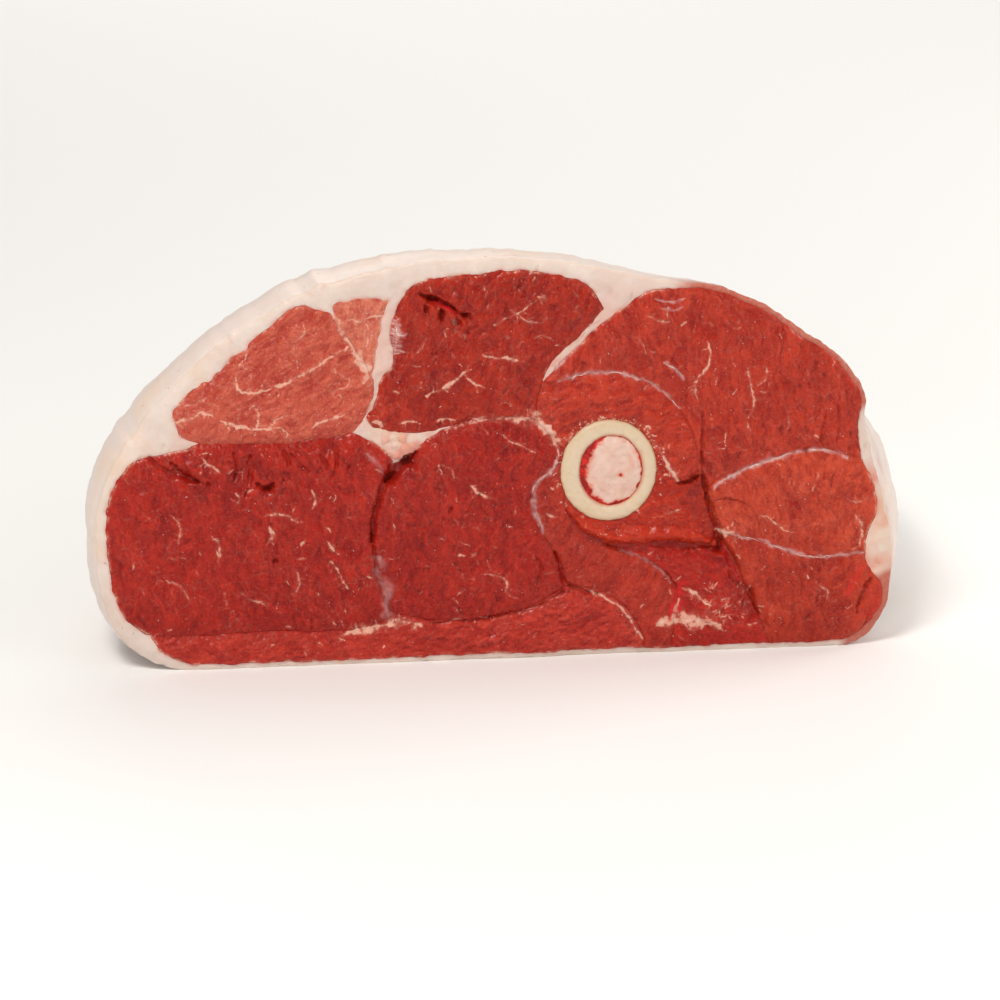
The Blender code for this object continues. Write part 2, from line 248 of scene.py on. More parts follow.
def to_line(places: Array, line: Array) -> tuple[Array, Array]:
    """Measure places against a line.

    Args:
        places: The places, one row each.
        line: The line's points, one row each.

    Returns:
        The distance from each place to the line, and how far along it (0 to 1) the nearest point is.
    """
    best, along = np.full(len(places), 1e9), np.zeros(len(places))
    run = run_of(line)
    for n, (a, b) in enumerate(zip(line, line[1:])):
        side = b - a
        t = np.clip((places - a) @ side / max(side @ side, 1e-12), 0.0, 1.0)
        away = np.linalg.norm(places - a - t[:, None] * side, axis=1)
        nearer = away < best
        best = np.where(nearer, away, best)
        along = np.where(nearer, (run[n] + t * (run[n + 1] - run[n])) / run[-1], along)
    return best, along


def inside(places: Array, loops: list[Array]) -> Array:
    """Tell which places lie inside closed loops, where a loop within another is a hole.

    Args:
        places: The places, one row each.
        loops: The closed loops, each with one row for a point.

    Returns:
        True for each place inside.
    """
    odd = np.zeros(len(places), bool)
    x, y = places[:, 0], places[:, 1]
    for loop in loops:
        for a, b in zip(loop, np.roll(loop, -1, axis=0)):
            if a[1] == b[1]:
                continue
            low, high = (a, b) if a[1] < b[1] else (b, a)
            rows = np.nonzero((y >= low[1]) & (y < high[1]))[0]
            cross = low[0] + (y[rows] - low[1]) * (high[0] - low[0]) / (high[1] - low[1])
            odd[rows] ^= x[rows] < cross
    return odd


def offset_loop(loop: Array, amount: Array | float) -> Array:
    """Move an anticlockwise loop outwards, or a clockwise one inwards.

    Args:
        loop: The loop's points, one row each.
        amount: How far each point moves, in mm.

    Returns:
        The moved points.
    """
    side = np.roll(loop, -1, axis=0) - np.roll(loop, 1, axis=0)
    side /= np.maximum(np.linalg.norm(side, axis=1), 1e-9)[:, None]
    return loop + np.stack([side[:, 1], -side[:, 0]], axis=1) * np.reshape(amount, (-1, 1))


def boundary_loops(triangles: Array) -> list[list[int]]:
    """Find the open edges of a patch of triangles.

    Args:
        triangles: Each triangle's three point numbers, one row each.

    Returns:
        Each boundary loop as point numbers, in the direction of its triangles.
    """
    a, b = triangles.ravel(), np.roll(triangles, -1, axis=1).ravel()
    count = int(triangles.max()) + 1
    open_edges = np.nonzero(~np.isin(a * count + b, b * count + a))[0]
    following: dict[int, list[int]] = {}
    for n in open_edges[np.argsort(a[open_edges], kind="stable")]:
        following.setdefault(int(a[n]), []).append(int(b[n]))
    loops = []
    while following:
        start = next(iter(following))
        loop, here = [start], start
        while True:
            there = following[here].pop()
            if not following[here]:
                del following[here]
            if there == start:
                break
            loop.append(there)
            here = there
        loops.append(loop)
    return loops


@dataclass(frozen=True)
class Section:
    """One section across the leg, and how the cut face is stretched to fill it, in mm.

    left and right are its ends across the leg, crown_left and crown_right its height towards each end,
    shoulder how far its top right is drawn in, lift and rounding how its underside leaves the board.
    """

    depth: float
    left: float
    right: float
    crown_left: float
    crown_right: float
    shoulder: float
    lift: float
    rounding: float
    bone_radius: float


@dataclass(frozen=True)
class LegForm:
    """The whole leg's form: a flat cut face in front, tapering back to the sawn shank end."""

    face_left: float = -135.0
    face_right: float = 76.3
    face_top: float = 58.0
    base: float = -52.0
    face_height: float = 110.0
    parting_reach: float = 50.0
    bone_radius: float = 12.8
    shank_depth: float = 190.0
    sections: tuple[Section, ...] = (
        Section(0.0, -135.0, 76.3, 110.0, 110.0, 0.0, 0.0, 0.0, 12.8),
        Section(12.0, -137.3, 77.5, 111.5, 107.0, 8.0, 0.0, 0.0, 12.6),
        Section(40.0, -133.5, 85.0, 103.0, 98.0, 24.0, 0.0, 0.0, 12.0),
        Section(80.0, -111.5, 86.5, 88.0, 83.0, 27.0, 0.0, 0.0, 10.8),
        Section(120.0, -77.0, 77.0, 73.5, 69.0, 20.0, 0.0, 1.0, 9.6),
        Section(160.0, -41.0, 60.5, 60.5, 57.0, 12.0, 1.5, 4.0, 8.7),
        Section(190.0, -23.0, 49.5, 51.5, 49.0, 7.0, 4.0, 9.0, 8.2),
    )

    def at(self, name: str, depth: Array) -> Array:
        """Read one of the sections' sizes at any depth, on a curve that never overshoots them.

        Args:
            name: The size's name in Section.
            depth: Distances behind the cut face, in mm.

        Returns:
            The size at each depth, in mm.
        """
        x = np.array([section.depth for section in self.sections])
        y = np.array([getattr(section, name) for section in self.sections])
        steps, rises = np.diff(x), np.diff(y) / np.diff(x)
        slopes = np.concatenate([[rises[0]], np.zeros(len(x) - 2), [rises[-1]]])
        for n in range(1, len(x) - 1):
            if rises[n - 1] * rises[n] > 0:
                near, far = 2 * steps[n] + steps[n - 1], steps[n] + 2 * steps[n - 1]
                slopes[n] = (near + far) / (near / rises[n - 1] + far / rises[n])
        depth = np.clip(depth, x[0], x[-1])
        n = np.clip(np.searchsorted(x, depth, side="right") - 1, 0, len(steps) - 1)
        t, h = (depth - x[n]) / steps[n], steps[n]
        return ((2 * t**3 - 3 * t**2 + 1) * y[n] + (t**3 - 2 * t**2 + t) * h * slopes[n]
                + (3 * t**2 - 2 * t**3) * y[n + 1] + (t**3 - t**2) * h * slopes[n + 1])

    def carry(self, uv: Array, depth: Array) -> Array:
        """Carry points of the cut face down the leg.

        Args:
            uv: Points of the cut face, in mm.
            depth: How far behind the cut face each comes, in mm. Past either end it runs straight on.

        Returns:
            Their places in the frame, in metres.
        """
        depth = np.broadcast_to(np.asarray(depth, float), (len(uv),))
        size = {name: self.at(name, depth) for name in (
            "left", "right", "crown_left", "crown_right", "shoulder", "lift", "rounding", "bone_radius")}
        u, v = uv[:, 0], uv[:, 1]
        width = self.face_right - self.face_left
        x_scale = (size["right"] - size["left"]) / width
        share = (u - self.face_left) / width
        z_scale = (size["crown_left"] + (size["crown_right"] - size["crown_left"]) * share) / self.face_height
        parting = (self.parting_reach - np.hypot(u, v)) / (self.parting_reach - self.bone_radius)
        hold = np.clip(parting, 0.0, 1.0) ** 2
        bone_scale = size["bone_radius"] / self.bone_radius
        u = u + u * (bone_scale / x_scale - 1) * hold
        v = v + v * (bone_scale / z_scale - 1) * hold
        height = v - self.base
        across = (2 * u - self.face_left - self.face_right) / width
        curl = size["rounding"] * across**2 * np.maximum(0.0, 1 - height / self.face_height) ** 2
        drawn = size["shoulder"] * np.maximum(0.0, u / self.face_right) * np.maximum(0.0, v / self.face_top)
        x = size["left"] + (u - self.face_left) * x_scale - drawn
        z = size["lift"] + height * z_scale + curl
        return (np.stack([x, depth, z], axis=1) + ORIGIN) * MM


def front_triangles(name: str) -> tuple[Array, Array]:
    """Read the cut-face end of a CAD node.

    Args:
        name: The node's name.

    Returns:
        Its points in mm, merged where they touch, and the triangles that lie in the cut face.
    """
    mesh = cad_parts[name].data
    mesh.calc_loop_triangles()
    places = np.empty(len(mesh.vertices) * 3)
    mesh.vertices.foreach_get("co", places)
    corners = np.empty(len(mesh.loop_triangles) * 3, np.int32)
    mesh.loop_triangles.foreach_get("vertices", corners)
    places = np.round(places.reshape(-1, 3) / MM, 2)
    merged, number = np.unique(places, axis=0, return_inverse=True)
    triangles = number.reshape(-1)[corners].reshape(-1, 3)
    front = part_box("fat_cover")[0].y / MM
    flat = np.all(np.abs(merged[triangles][:, :, 1] - front) < 0.05, axis=1)
    return merged, triangles[flat]


def frame_origin() -> Array:
    """Find where the thigh bone's centre line at the cut face stands in the frame.

    Returns:
        What is added to a place in mm, measured across from the bone, back from the cut face and up
        from the board, to bring it into the frame.
    """
    places, triangles = front_triangles("femur")
    ring = places[np.unique(triangles)]
    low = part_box("fat_cover")[0]
    return np.array([(ring[:, 0].min() + ring[:, 0].max()) / 2, low.y / MM, low.z / MM])


ORIGIN = frame_origin()
FORM = LegForm()


@dataclass(frozen=True)
class Outlines:
    """The outlines of the pieces on the cut face, taken from the CAD nodes' front ends."""

    half_gap: float = 0.22
    overlap: float = 0.10
    corner_turn: float = 38.0
    stray: float = 0.30
    fray: float = 0.22
    lobes: float = 1.2

    def of(self, name: str, step: float) -> list[Array]:
        """Draw a node's outline smoothly, so that it just meets its neighbours.

        Args:
            name: The CAD node's name.
            step: The distance between two points, in mm.

        Returns:
            Its closed loops on the cut face, the outer one anticlockwise and any hole clockwise.
        """
        places, triangles = front_triangles(name)
        flat = np.stack([places[:, 0] - ORIGIN[0], places[:, 2] - ORIGIN[2] + FORM.base], axis=1)
        loops = [self._smooth(flat[loop], step) for loop in boundary_loops(triangles)]
        areas = [float(np.sum(loop[:, 0] * np.roll(loop[:, 1], -1) - np.roll(loop[:, 0], -1) * loop[:, 1]))
                 for loop in loops]
        widest = int(np.argmax(np.abs(areas)))
        result = []
        for n, (loop, area) in enumerate(zip(loops, areas)):
            loop = loop if (area > 0) == (n == widest) else loop[::-1]
            loop = self.strayed(offset_loop(loop, self.half_gap + self.overlap))
            result.append(resample(loop, step, closed=True))
        order = sorted(range(len(result)), key=lambda n: n != widest)
        return [result[n] for n in order]

    def strayed(self, uv: Array) -> Array:
        """Let points wander off a smooth line, all points near a seam in the same way.

        Args:
            uv: Points of the cut face, in mm.

        Returns:
            The moved points. Those round the thigh bone hardly move.
        """
        u, v = uv[:, 0], uv[:, 1]
        lobed = ramp(-u, 66.0, 78.0) * ramp(v, 13.0, 18.0) * ramp(0.653 * u - 0.758 * v, -92.0, -88.0)
        away = ramp(np.hypot(u, v), 15.0, 21.0)
        much, little = (self.stray + self.lobes * lobed) * away, self.fray * (0.5 + 0.5 * away)
        aside = WANDER.pair(uv, 5.0, 3, (90.0, -40.0))
        frayed = WANDER.pair(uv, 1.7, 2, (90.0, -40.0))
        return uv + aside * much[:, None] + frayed * little[:, None]

    def _smooth(self, loop: Array, step: float) -> Array:
        """Draw a smooth closed line through a loop, keeping its true corners sharp.

        Args:
            loop: The closed loop, in mm.
            step: How far apart the new points are, in mm.

        Returns:
            The smooth closed line.
        """
        before, after = loop - np.roll(loop, 1, axis=0), np.roll(loop, -1, axis=0) - loop
        turn = np.abs(np.arctan2(before[:, 0] * after[:, 1] - before[:, 1] * after[:, 0],
                                 np.sum(before * after, axis=1)))
        corners = np.nonzero(turn > math.radians(self.corner_turn))[0]
        if len(corners) == 0:
            wrapped = np.vstack([loop[-3:], loop, loop[:4]])
            line = spline(wrapped, step)
            near = [int(np.argmin(np.linalg.norm(line[:len(line) // 3] - loop[0], axis=1))),
                    2 * len(line) // 3 + int(np.argmin(np.linalg.norm(
                        line[2 * len(line) // 3:] - loop[0], axis=1)))]
            return line[near[0]:near[1]]
        loop = np.roll(loop, -corners[0], axis=0)
        corners = np.append(corners - corners[0], len(loop))
        loop = np.vstack([loop, loop[:1]])
        parts = [spline(loop[a:b + 1], step)[:-1] for a, b in zip(corners, corners[1:])]
        return np.vstack(parts)


WANDER = Noise(11)
OUTLINES = Outlines()


class Mark(Enum):
    """What a line drawn on the cut face is."""

    # sinks a groove and paints shade along it
    CREASE = "crease"
    # lightens the tone, a painted highlight, and mostly raises a ridge
    LIP = "lip"
    VEIN = "vein"
    FILM = "film"
    BLOOD = "blood"


@dataclass(frozen=True)
class Line:
    """A line on the cut face: its kind, widths in mm, depth of its groove in mm, and the way it takes."""

    mark: Mark
    width: float
    depth: float
    points: Points
    strength: float = 1.0
    end_width: float = 0.35

    def path(self, step: float) -> Array:
        """Draw the line's way as evenly spaced points, step mm apart."""
        return spline(np.array(self.points, float), step)

    def measure(self, uv: Array) -> tuple[Array, Array]:
        """Find how strongly the line shows at each point.

        Args:
            uv: Points of the cut face, in mm.

        Returns:
            The numbers of the points that it reaches, and its strength there, 1 along its middle.
        """
        line = self.path(0.8)
        reach = self.width * 2.0 + 0.6
        near = np.nonzero(np.all((uv > line.min(0) - reach) & (uv < line.max(0) + reach), axis=1))[0]
        if len(near) == 0:
            return near, np.zeros(0)
        places = uv[near]
        size = 4.5 if self.mark in (Mark.CREASE, Mark.LIP) else 1.6
        shift = 0.20 * self.width + 0.22
        places = places + shift * SHAPER.pair(places, size, 2, (50.0, 0.0))
        away, along = to_line(places, line)
        taper = self.end_width + (1 - self.end_width) * np.sin(math.pi * np.clip(along, 0.02, 0.98)) ** 0.6
        uneven = 1.0 + 0.55 * SHAPER.at(places, 2.4, 2)
        half = 0.5 * self.width * taper * uneven
        much = np.exp(-((away / np.maximum(half, 0.08)) ** 2))
        if self.mark in (Mark.VEIN, Mark.FILM):
            much *= 0.45 + 0.55 * ramp(SHAPER.at(places + (9.0, 0.0), 1.5, 2), -0.55, 0.15)
        return near, much

    def branches(self) -> list["Line"]:
        """Grow the thin side branches of a vein.

        Returns:
            The branches, the same on every run.
        """
        line = self.path(0.5)
        chance = np.random.default_rng(int(1000 + abs(line.sum()) * 10))
        grown = []
        for _ in range(round(len(line) * 0.5 / 2.0)):
            n = int(chance.integers(1, len(line) - 1))
            along = line[n + 1] - line[n - 1]
            turn = math.atan2(along[1], along[0]) + chance.choice([-1, 1]) * chance.uniform(0.5, 1.3)
            points, here = [tuple(line[n])], line[n]
            for _ in range(3):
                turn += chance.uniform(-0.5, 0.5)
                here = here + chance.uniform(0.4, 1.0) * way(turn)
                points.append(tuple(here))
            grown.append(Line(self.mark, 0.45 * self.width, 0.0, points, 0.6 * self.strength, 0.2))
        return grown


def drawn(mark: Mark, *rows: tuple) -> tuple[Line, ...]:
    """Draw lines of one kind, each given as width, depth, points, strength and end width."""
    return tuple(Line(mark, *row) for row in rows)


def nicks(count: int, middle: Spot, spread: Spot, strength: float,
          seed: int) -> list[Line]:
    """Scatter short upright slits between the strands of a muscle.

    Args:
        count: How many there are.
        middle: The middle of the place where they lie, in mm.
        spread: How far they spread across and upwards, in mm.
        strength: How dark the shade painted in them is, from 0 to 1.
        seed: The number that tells one scatter from another.

    Returns:
        The slits, the same on every run.
    """
    chance = np.random.default_rng(seed)
    scattered = []
    for _ in range(count):
        u, v = (chance.normal(at, 0.5 * wide) for at, wide in zip(middle, spread))
        half, lean = chance.uniform(0.4, 1.2), chance.normal(0.22, 0.22)
        bend = chance.normal(0.0, 0.2)
        points = [(u - lean * half, v - half), (u + bend, v), (u + lean * half, v + half)]
        width = chance.uniform(0.4, 0.9)
        dark = strength * chance.uniform(0.5, 1.1)
        scattered.append(Line(Mark.CREASE, width, 0.45 * width, points, dark, 0.25))
    return scattered


def threads(count: int, low: Spot, high: Spot, seed: int) -> list[Line]:
    """Scatter short threads of fat over a part of the cut face.

    Args:
        count: How many there are.
        low: The lower left corner of the part, in mm.
        high: Its upper right corner, in mm.
        seed: The number that tells one scatter from another.

    Returns:
        The threads, the same on every run.
    """
    chance = np.random.default_rng(seed)
    scattered = []
    for _ in range(count):
        here = chance.uniform(low, high)
        turn = chance.normal(1.5, 0.9)
        points = [tuple(here)]
        for _ in range(int(chance.integers(2, 5))):
            turn += chance.uniform(-0.7, 0.7)
            here = here + chance.uniform(0.35, 0.9) * way(turn)
            points.append(tuple(here))
        strength = chance.uniform(0.25, 0.75)
        scattered.append(Line(Mark.VEIN, chance.uniform(0.28, 0.55), 0.0, points, strength, 0.3))
    return scattered


def fringe(count: int) -> list[Line]:
    """Set short pale threads round the thigh bone, most of them above it.

    Args:
        count: How many there are.

    Returns:
        The threads, the same on every run.
    """
    chance = np.random.default_rng(83)
    scattered = []
    for _ in range(count):
        angle = chance.normal(1.5, 0.95)
        radius = 13.1 + abs(chance.normal(0.0, 1.5))
        here = radius * way(angle)
        turn = angle + chance.normal(0.0, 0.9)
        there = here + chance.uniform(0.3, 1.1) * way(turn)
        width, strength = chance.uniform(0.3, 0.6), chance.uniform(0.5, 1.0)
        scattered.append(Line(Mark.VEIN, width, 0.0, [tuple(here), tuple(there)], strength, 0.5))
    return scattered


@dataclass(frozen=True)
class Pit:
    """A torn hole or hollow in the cut face: its middle, size across and upwards, and depth, in mm."""

    u: float
    v: float
    across: float
    high: float
    depth: float
    lean: float = 0.0


# Each crease sinks a groove and paints shade along it
CREASES = drawn(
    Mark.CREASE,
    (2.6, 2.2, [(-50.5, 6.6), (-52.6, 4.6), (-55.2, 2.2), (-58.3, -1.6)], 0.88, 0.3),
    (1.5, 1.3, [(-56.5, 0.5), (-60.4, -4.5), (-62.2, -11), (-62.6, -18)], 0.58, 0.5),
    (1, 0.7, [(-62.6, -16), (-61.6, -25), (-59.5, -33), (-57.5, -38)], 0.41, 0.6),
    # The fold right of the bone: painted shadow in the soft hollow, and painted shade along the edge that
    # hangs over it
    (4.6, 1, [(23, -2), (24.8, -8.6), (27, -15), (29, -20.4)], 0.5, 0.5),
    (0.8, 0.7, [(24.6, 5), (25, 0), (25.6, -4.4), (27.4, -9.6), (29.6, -15), (31.2, -20.6)], 0.7, 0.6),
    (4, 1.3, [(30.2, -21.4), (32.4, -26.4), (35.8, -33.6), (39.2, -42)], 0.48, 0.5),
    (0.9, 0.9, [(31.2, -20.6), (33.8, -26), (37.4, -33.6), (41, -42)], 0.62, 0.6),
    (1.1, 0.8, [(-47.5, -41), (-40, -40.6), (-33.5, -40.4), (-23.3, -38.7), (-16.7, -36.2),
     (-11.7, -33.2)], 0.46, 0.5),
    (1.2, 0.9, [(-14, -22), (-12.4, -26), (-11.2, -31), (-7, -33.2), (-2, -34.4)], 0.46),
    (1.2, 0.5, [(0, -21.4), (6, -23.8), (12, -26.8), (16.8, -31), (18.6, -34.5)], 0.16, 0.5),
    # The fold under the bone, painted with shade
    (2.4, 0.8, [(-1, -20.6), (7, -21.9), (16, -21.6), (24, -22.4), (30, -23.8)], 0.36, 0.5),
    (0.7, 0.5, [(-5, -17.4), (1, -19.9), (7.4, -20.9), (16, -20.6), (24, -21.4), (29.6, -23)], 0.4, 0.5),
    (1.4, 1, [(67.3, -42), (68.6, -36.5), (71, -32.8)], 0.5),
    (1.3, 0.8, [(-121, 7.6), (-118, 4.4), (-113, 2.4), (-107, 1)], 0.52),
    (0.9, 0.4, [(12.6, 31.2), (17, 28), (20.2, 24.4), (23, 21), (24.8, 16), (25, 9), (24.6, 3)], 0.26, 0.5),
    (0.8, 0.4, [(-61.4, 27), (-61.8, 22), (-63.6, 17.5)], 0.29, 0.5),
    # The shadowed edge under the round lobe right of the bone
    (1.5, 1.2, [(18.6, -4.2), (21.6, -3.2), (24.6, -2), (25.9, -5), (27.4, -11.7), (29.2, -17.6),
     (30.8, -22)], 0.75, 0.4),
    # The tear in the outside round, painted with shade
    (1.3, 2.2, [(-49, 49.6), (-46.4, 48.3), (-43.2, 46.9), (-40.4, 45.3)], 0.9, 0.5),
    (0.9, 1.2, [(-40.8, 45.4), (-38.9, 43.8), (-36.9, 43.1)], 0.8, 0.4),
    # The hollows and folds along the top of the inside round, the tear's depths and small folds, all painted
    # with shade
    (2.2, 1.2, [(-115.5, 5.5), (-112.5, 2.8), (-108.5, 1.5)], 0.5),
    (1.7, 1, [(-95, 6.5), (-94.2, 3), (-95, -0.5)], 0.5),
    (1.9, 1.5, [(-92.5, -0.5), (-90, -1.8), (-89, -0.2)], 0.75),
    (1.3, 0.8, [(-84.4, 7.4), (-82.2, 4.6), (-79.8, 2.2)], 0.45), (1.1, 0.7, [(-76.8, 7), (-74.5, 3)], 0.4),
    (1.1, 0.7, [(-70.5, 6.4), (-68.6, 2.5)], 0.4), (0.9, 1, [(-48.4, 47), (-47.8, 44.6)], 0.6),
    (0.9, 1, [(-44.4, 45.6), (-43.9, 42.4)], 0.62), (0.8, 0.9, [(-40.2, 43.4), (-39.9, 41.6)], 0.6),
    (0.9, 0.7, [(-19.2, -23.6), (-18, -26.6), (-18.8, -31)], 0.41),
    (0.9, 0.5, [(-20.6, -5.6), (-19.4, -10.6), (-17.2, -16.6)], 0.35),
    (0.9, 0.6, [(28.4, -9), (33, -8.9), (37.6, -11), (40.2, -14.4), (40.6, -18)], 0.26),
    (1, 0.6, [(57.6, 14), (57, 8), (58.2, 4)], 0.13), (1, 0.6, [(61.4, 16), (61.8, 11), (61.2, 6)], 0.16),
    (0.9, 0.5, [(64.6, 9), (65.2, 6), (64.8, 1)], 0.15),
    (1.2, 0.8, [(-99, 8.6), (-98.2, 4), (-99.4, 0.6)], 0.29),
    (1.1, 0.7, [(-86, 9), (-85, 4.6), (-86.4, 0)], 0.26),
    (1.2, 0.7, [(-73, 9.6), (-71.8, 5), (-73.2, 1)], 0.26),
) + drawn(
    # Each lip lightens the tone through the lit reading, and most also raise the relief: a painted highlight
    # on a raised ridge
    Mark.LIP,
    # The lit lip of the fold right of the bone
    (3, -0.6, [(27.6, -3.6), (29.6, -8.8), (32.2, -14.6)], 0.35),
    (4.6, -1, [(34.2, -21.4), (37, -27.4), (40.6, -34.6), (44.2, -42)], 1, 0.6),
    # The lit band over the fold under the bone, and the lower right lobe's
    (3.4, -1.7, [(-9, -11.6), (-5.4, -15), (0.4, -17.6), (8, -18.7), (15, -18.2), (21, -18.7),
     (26.4, -20.6)], 1, 0.5),
    (6, -0.5, [(73.6, -33.6), (72.8, -38), (71.8, -43)], 1, 0.8),
    # The round lobe's own lip, with a painted highlight
    (3.4, -0.8, [(18, -1.6), (21.4, -0.4), (23.2, 3), (23.4, 9), (21.4, 15)], 0.8, 0.5),
    # Broad lighter parts, with hardly any relief
    (9, 0, [(68.5, -29), (69, -36), (67, -44)], 1.5, 0.4),
    (3, 0, [(66.8, 24), (68.4, 14), (68.2, 4), (71, -6), (73, -16)], 0.7, 0.6),
    (30, 0, [(58, 28), (60, 14), (60, 4)], 0.45, 0.8),
    (7, -0.2, [(2, 24.4), (10, 22.6), (17.6, 17.4), (21.6, 10), (22.8, 3)], 0.4, 0.6),
    (16, 0, [(-98, 16), (-84, 16), (-70, 20)], 0.35, 0.7),
    (5, -0.3, [(-6, -34), (0, -38), (6, -45)], 0.35, 0.7),
    # The ridges between the hollows of the inside round, and the torn flesh in the tear, each with a painted
    # highlight
    (2.8, -0.7, [(-111.5, 6), (-107, 4.2)], 0.5), (2.6, -0.7, [(-91.6, 7.4), (-91, 2.6)], 0.5),
    (2.4, -0.6, [(-87.4, 7.6), (-85.2, 2.6)], 0.5), (2.4, -0.6, [(-79.6, 7.4), (-77.4, 2.6)], 0.45),
    (2.4, -0.6, [(-73.6, 7.4), (-71.6, 2.6)], 0.45), (2.1, -1.1, [(-46.4, 46.6), (-45.8, 43.8)], 1.3),
    (2.2, -1.2, [(-42.2, 45), (-41.6, 41.4)], 1.3), (1.7, -0.9, [(-38.8, 42.8), (-38.2, 40.6)], 1.3),
)

# Each pit is sunk and painted with shade, darkest at its middle
PITS = tuple(Pit(*row) for row in (
    (-53.2, 4.2, 1.5, 1.2, 2, 0.7), (30.4, -23.2, 0.8, 1, 1), (-46.6, 48.2, 1.2, 0.8, 1.6),
    (-38, 43.8, 1, 0.7, 1.4), (-41.2, 42, 0.7, 1, 1.2), (-44, 44.6, 0.6, 0.9, 0.8), (-90, -2, 0.8, 1.1, 1),
    (-88.5, -22, 0.7, 1, 0.9), (-109, 5.4, 1.2, 0.6, 0.6, 0.4), (-20, 47, 0.6, 0.6, 0.5),
    (-66, -30, 0.5, 1, 0.5), (46, 10, 0.5, 1.1, 0.6), (51, 22, 0.5, 1, 0.6, 0.2),
    (57.5, 25, 0.5, 0.9, 0.5, 0.3), (53, 3.8, 0.6, 0.8, 0.6),
))

NICKS = tuple(slit for scatter in (
    (60, (-40, -14), (18, 11), 0.55, 3), (30, (-36, -27), (24, 10), 0.34, 4),
    (110, (52, 13), (22, 22), 0.22, 5), (40, (-34, 42), (24, 14), 0.28, 6),
    (50, (-95, -12), (34, 26), 0.26, 7), (30, (52, -33), (20, 12), 0.20, 8),
    (30, (10, 38), (20, 10), 0.20, 9), (14, (-88, 26), (22, 14), 0.16, 10),
    (44, (-88, 4), (40, 7), 0.36, 12),
) for slit in nicks(*scatter))

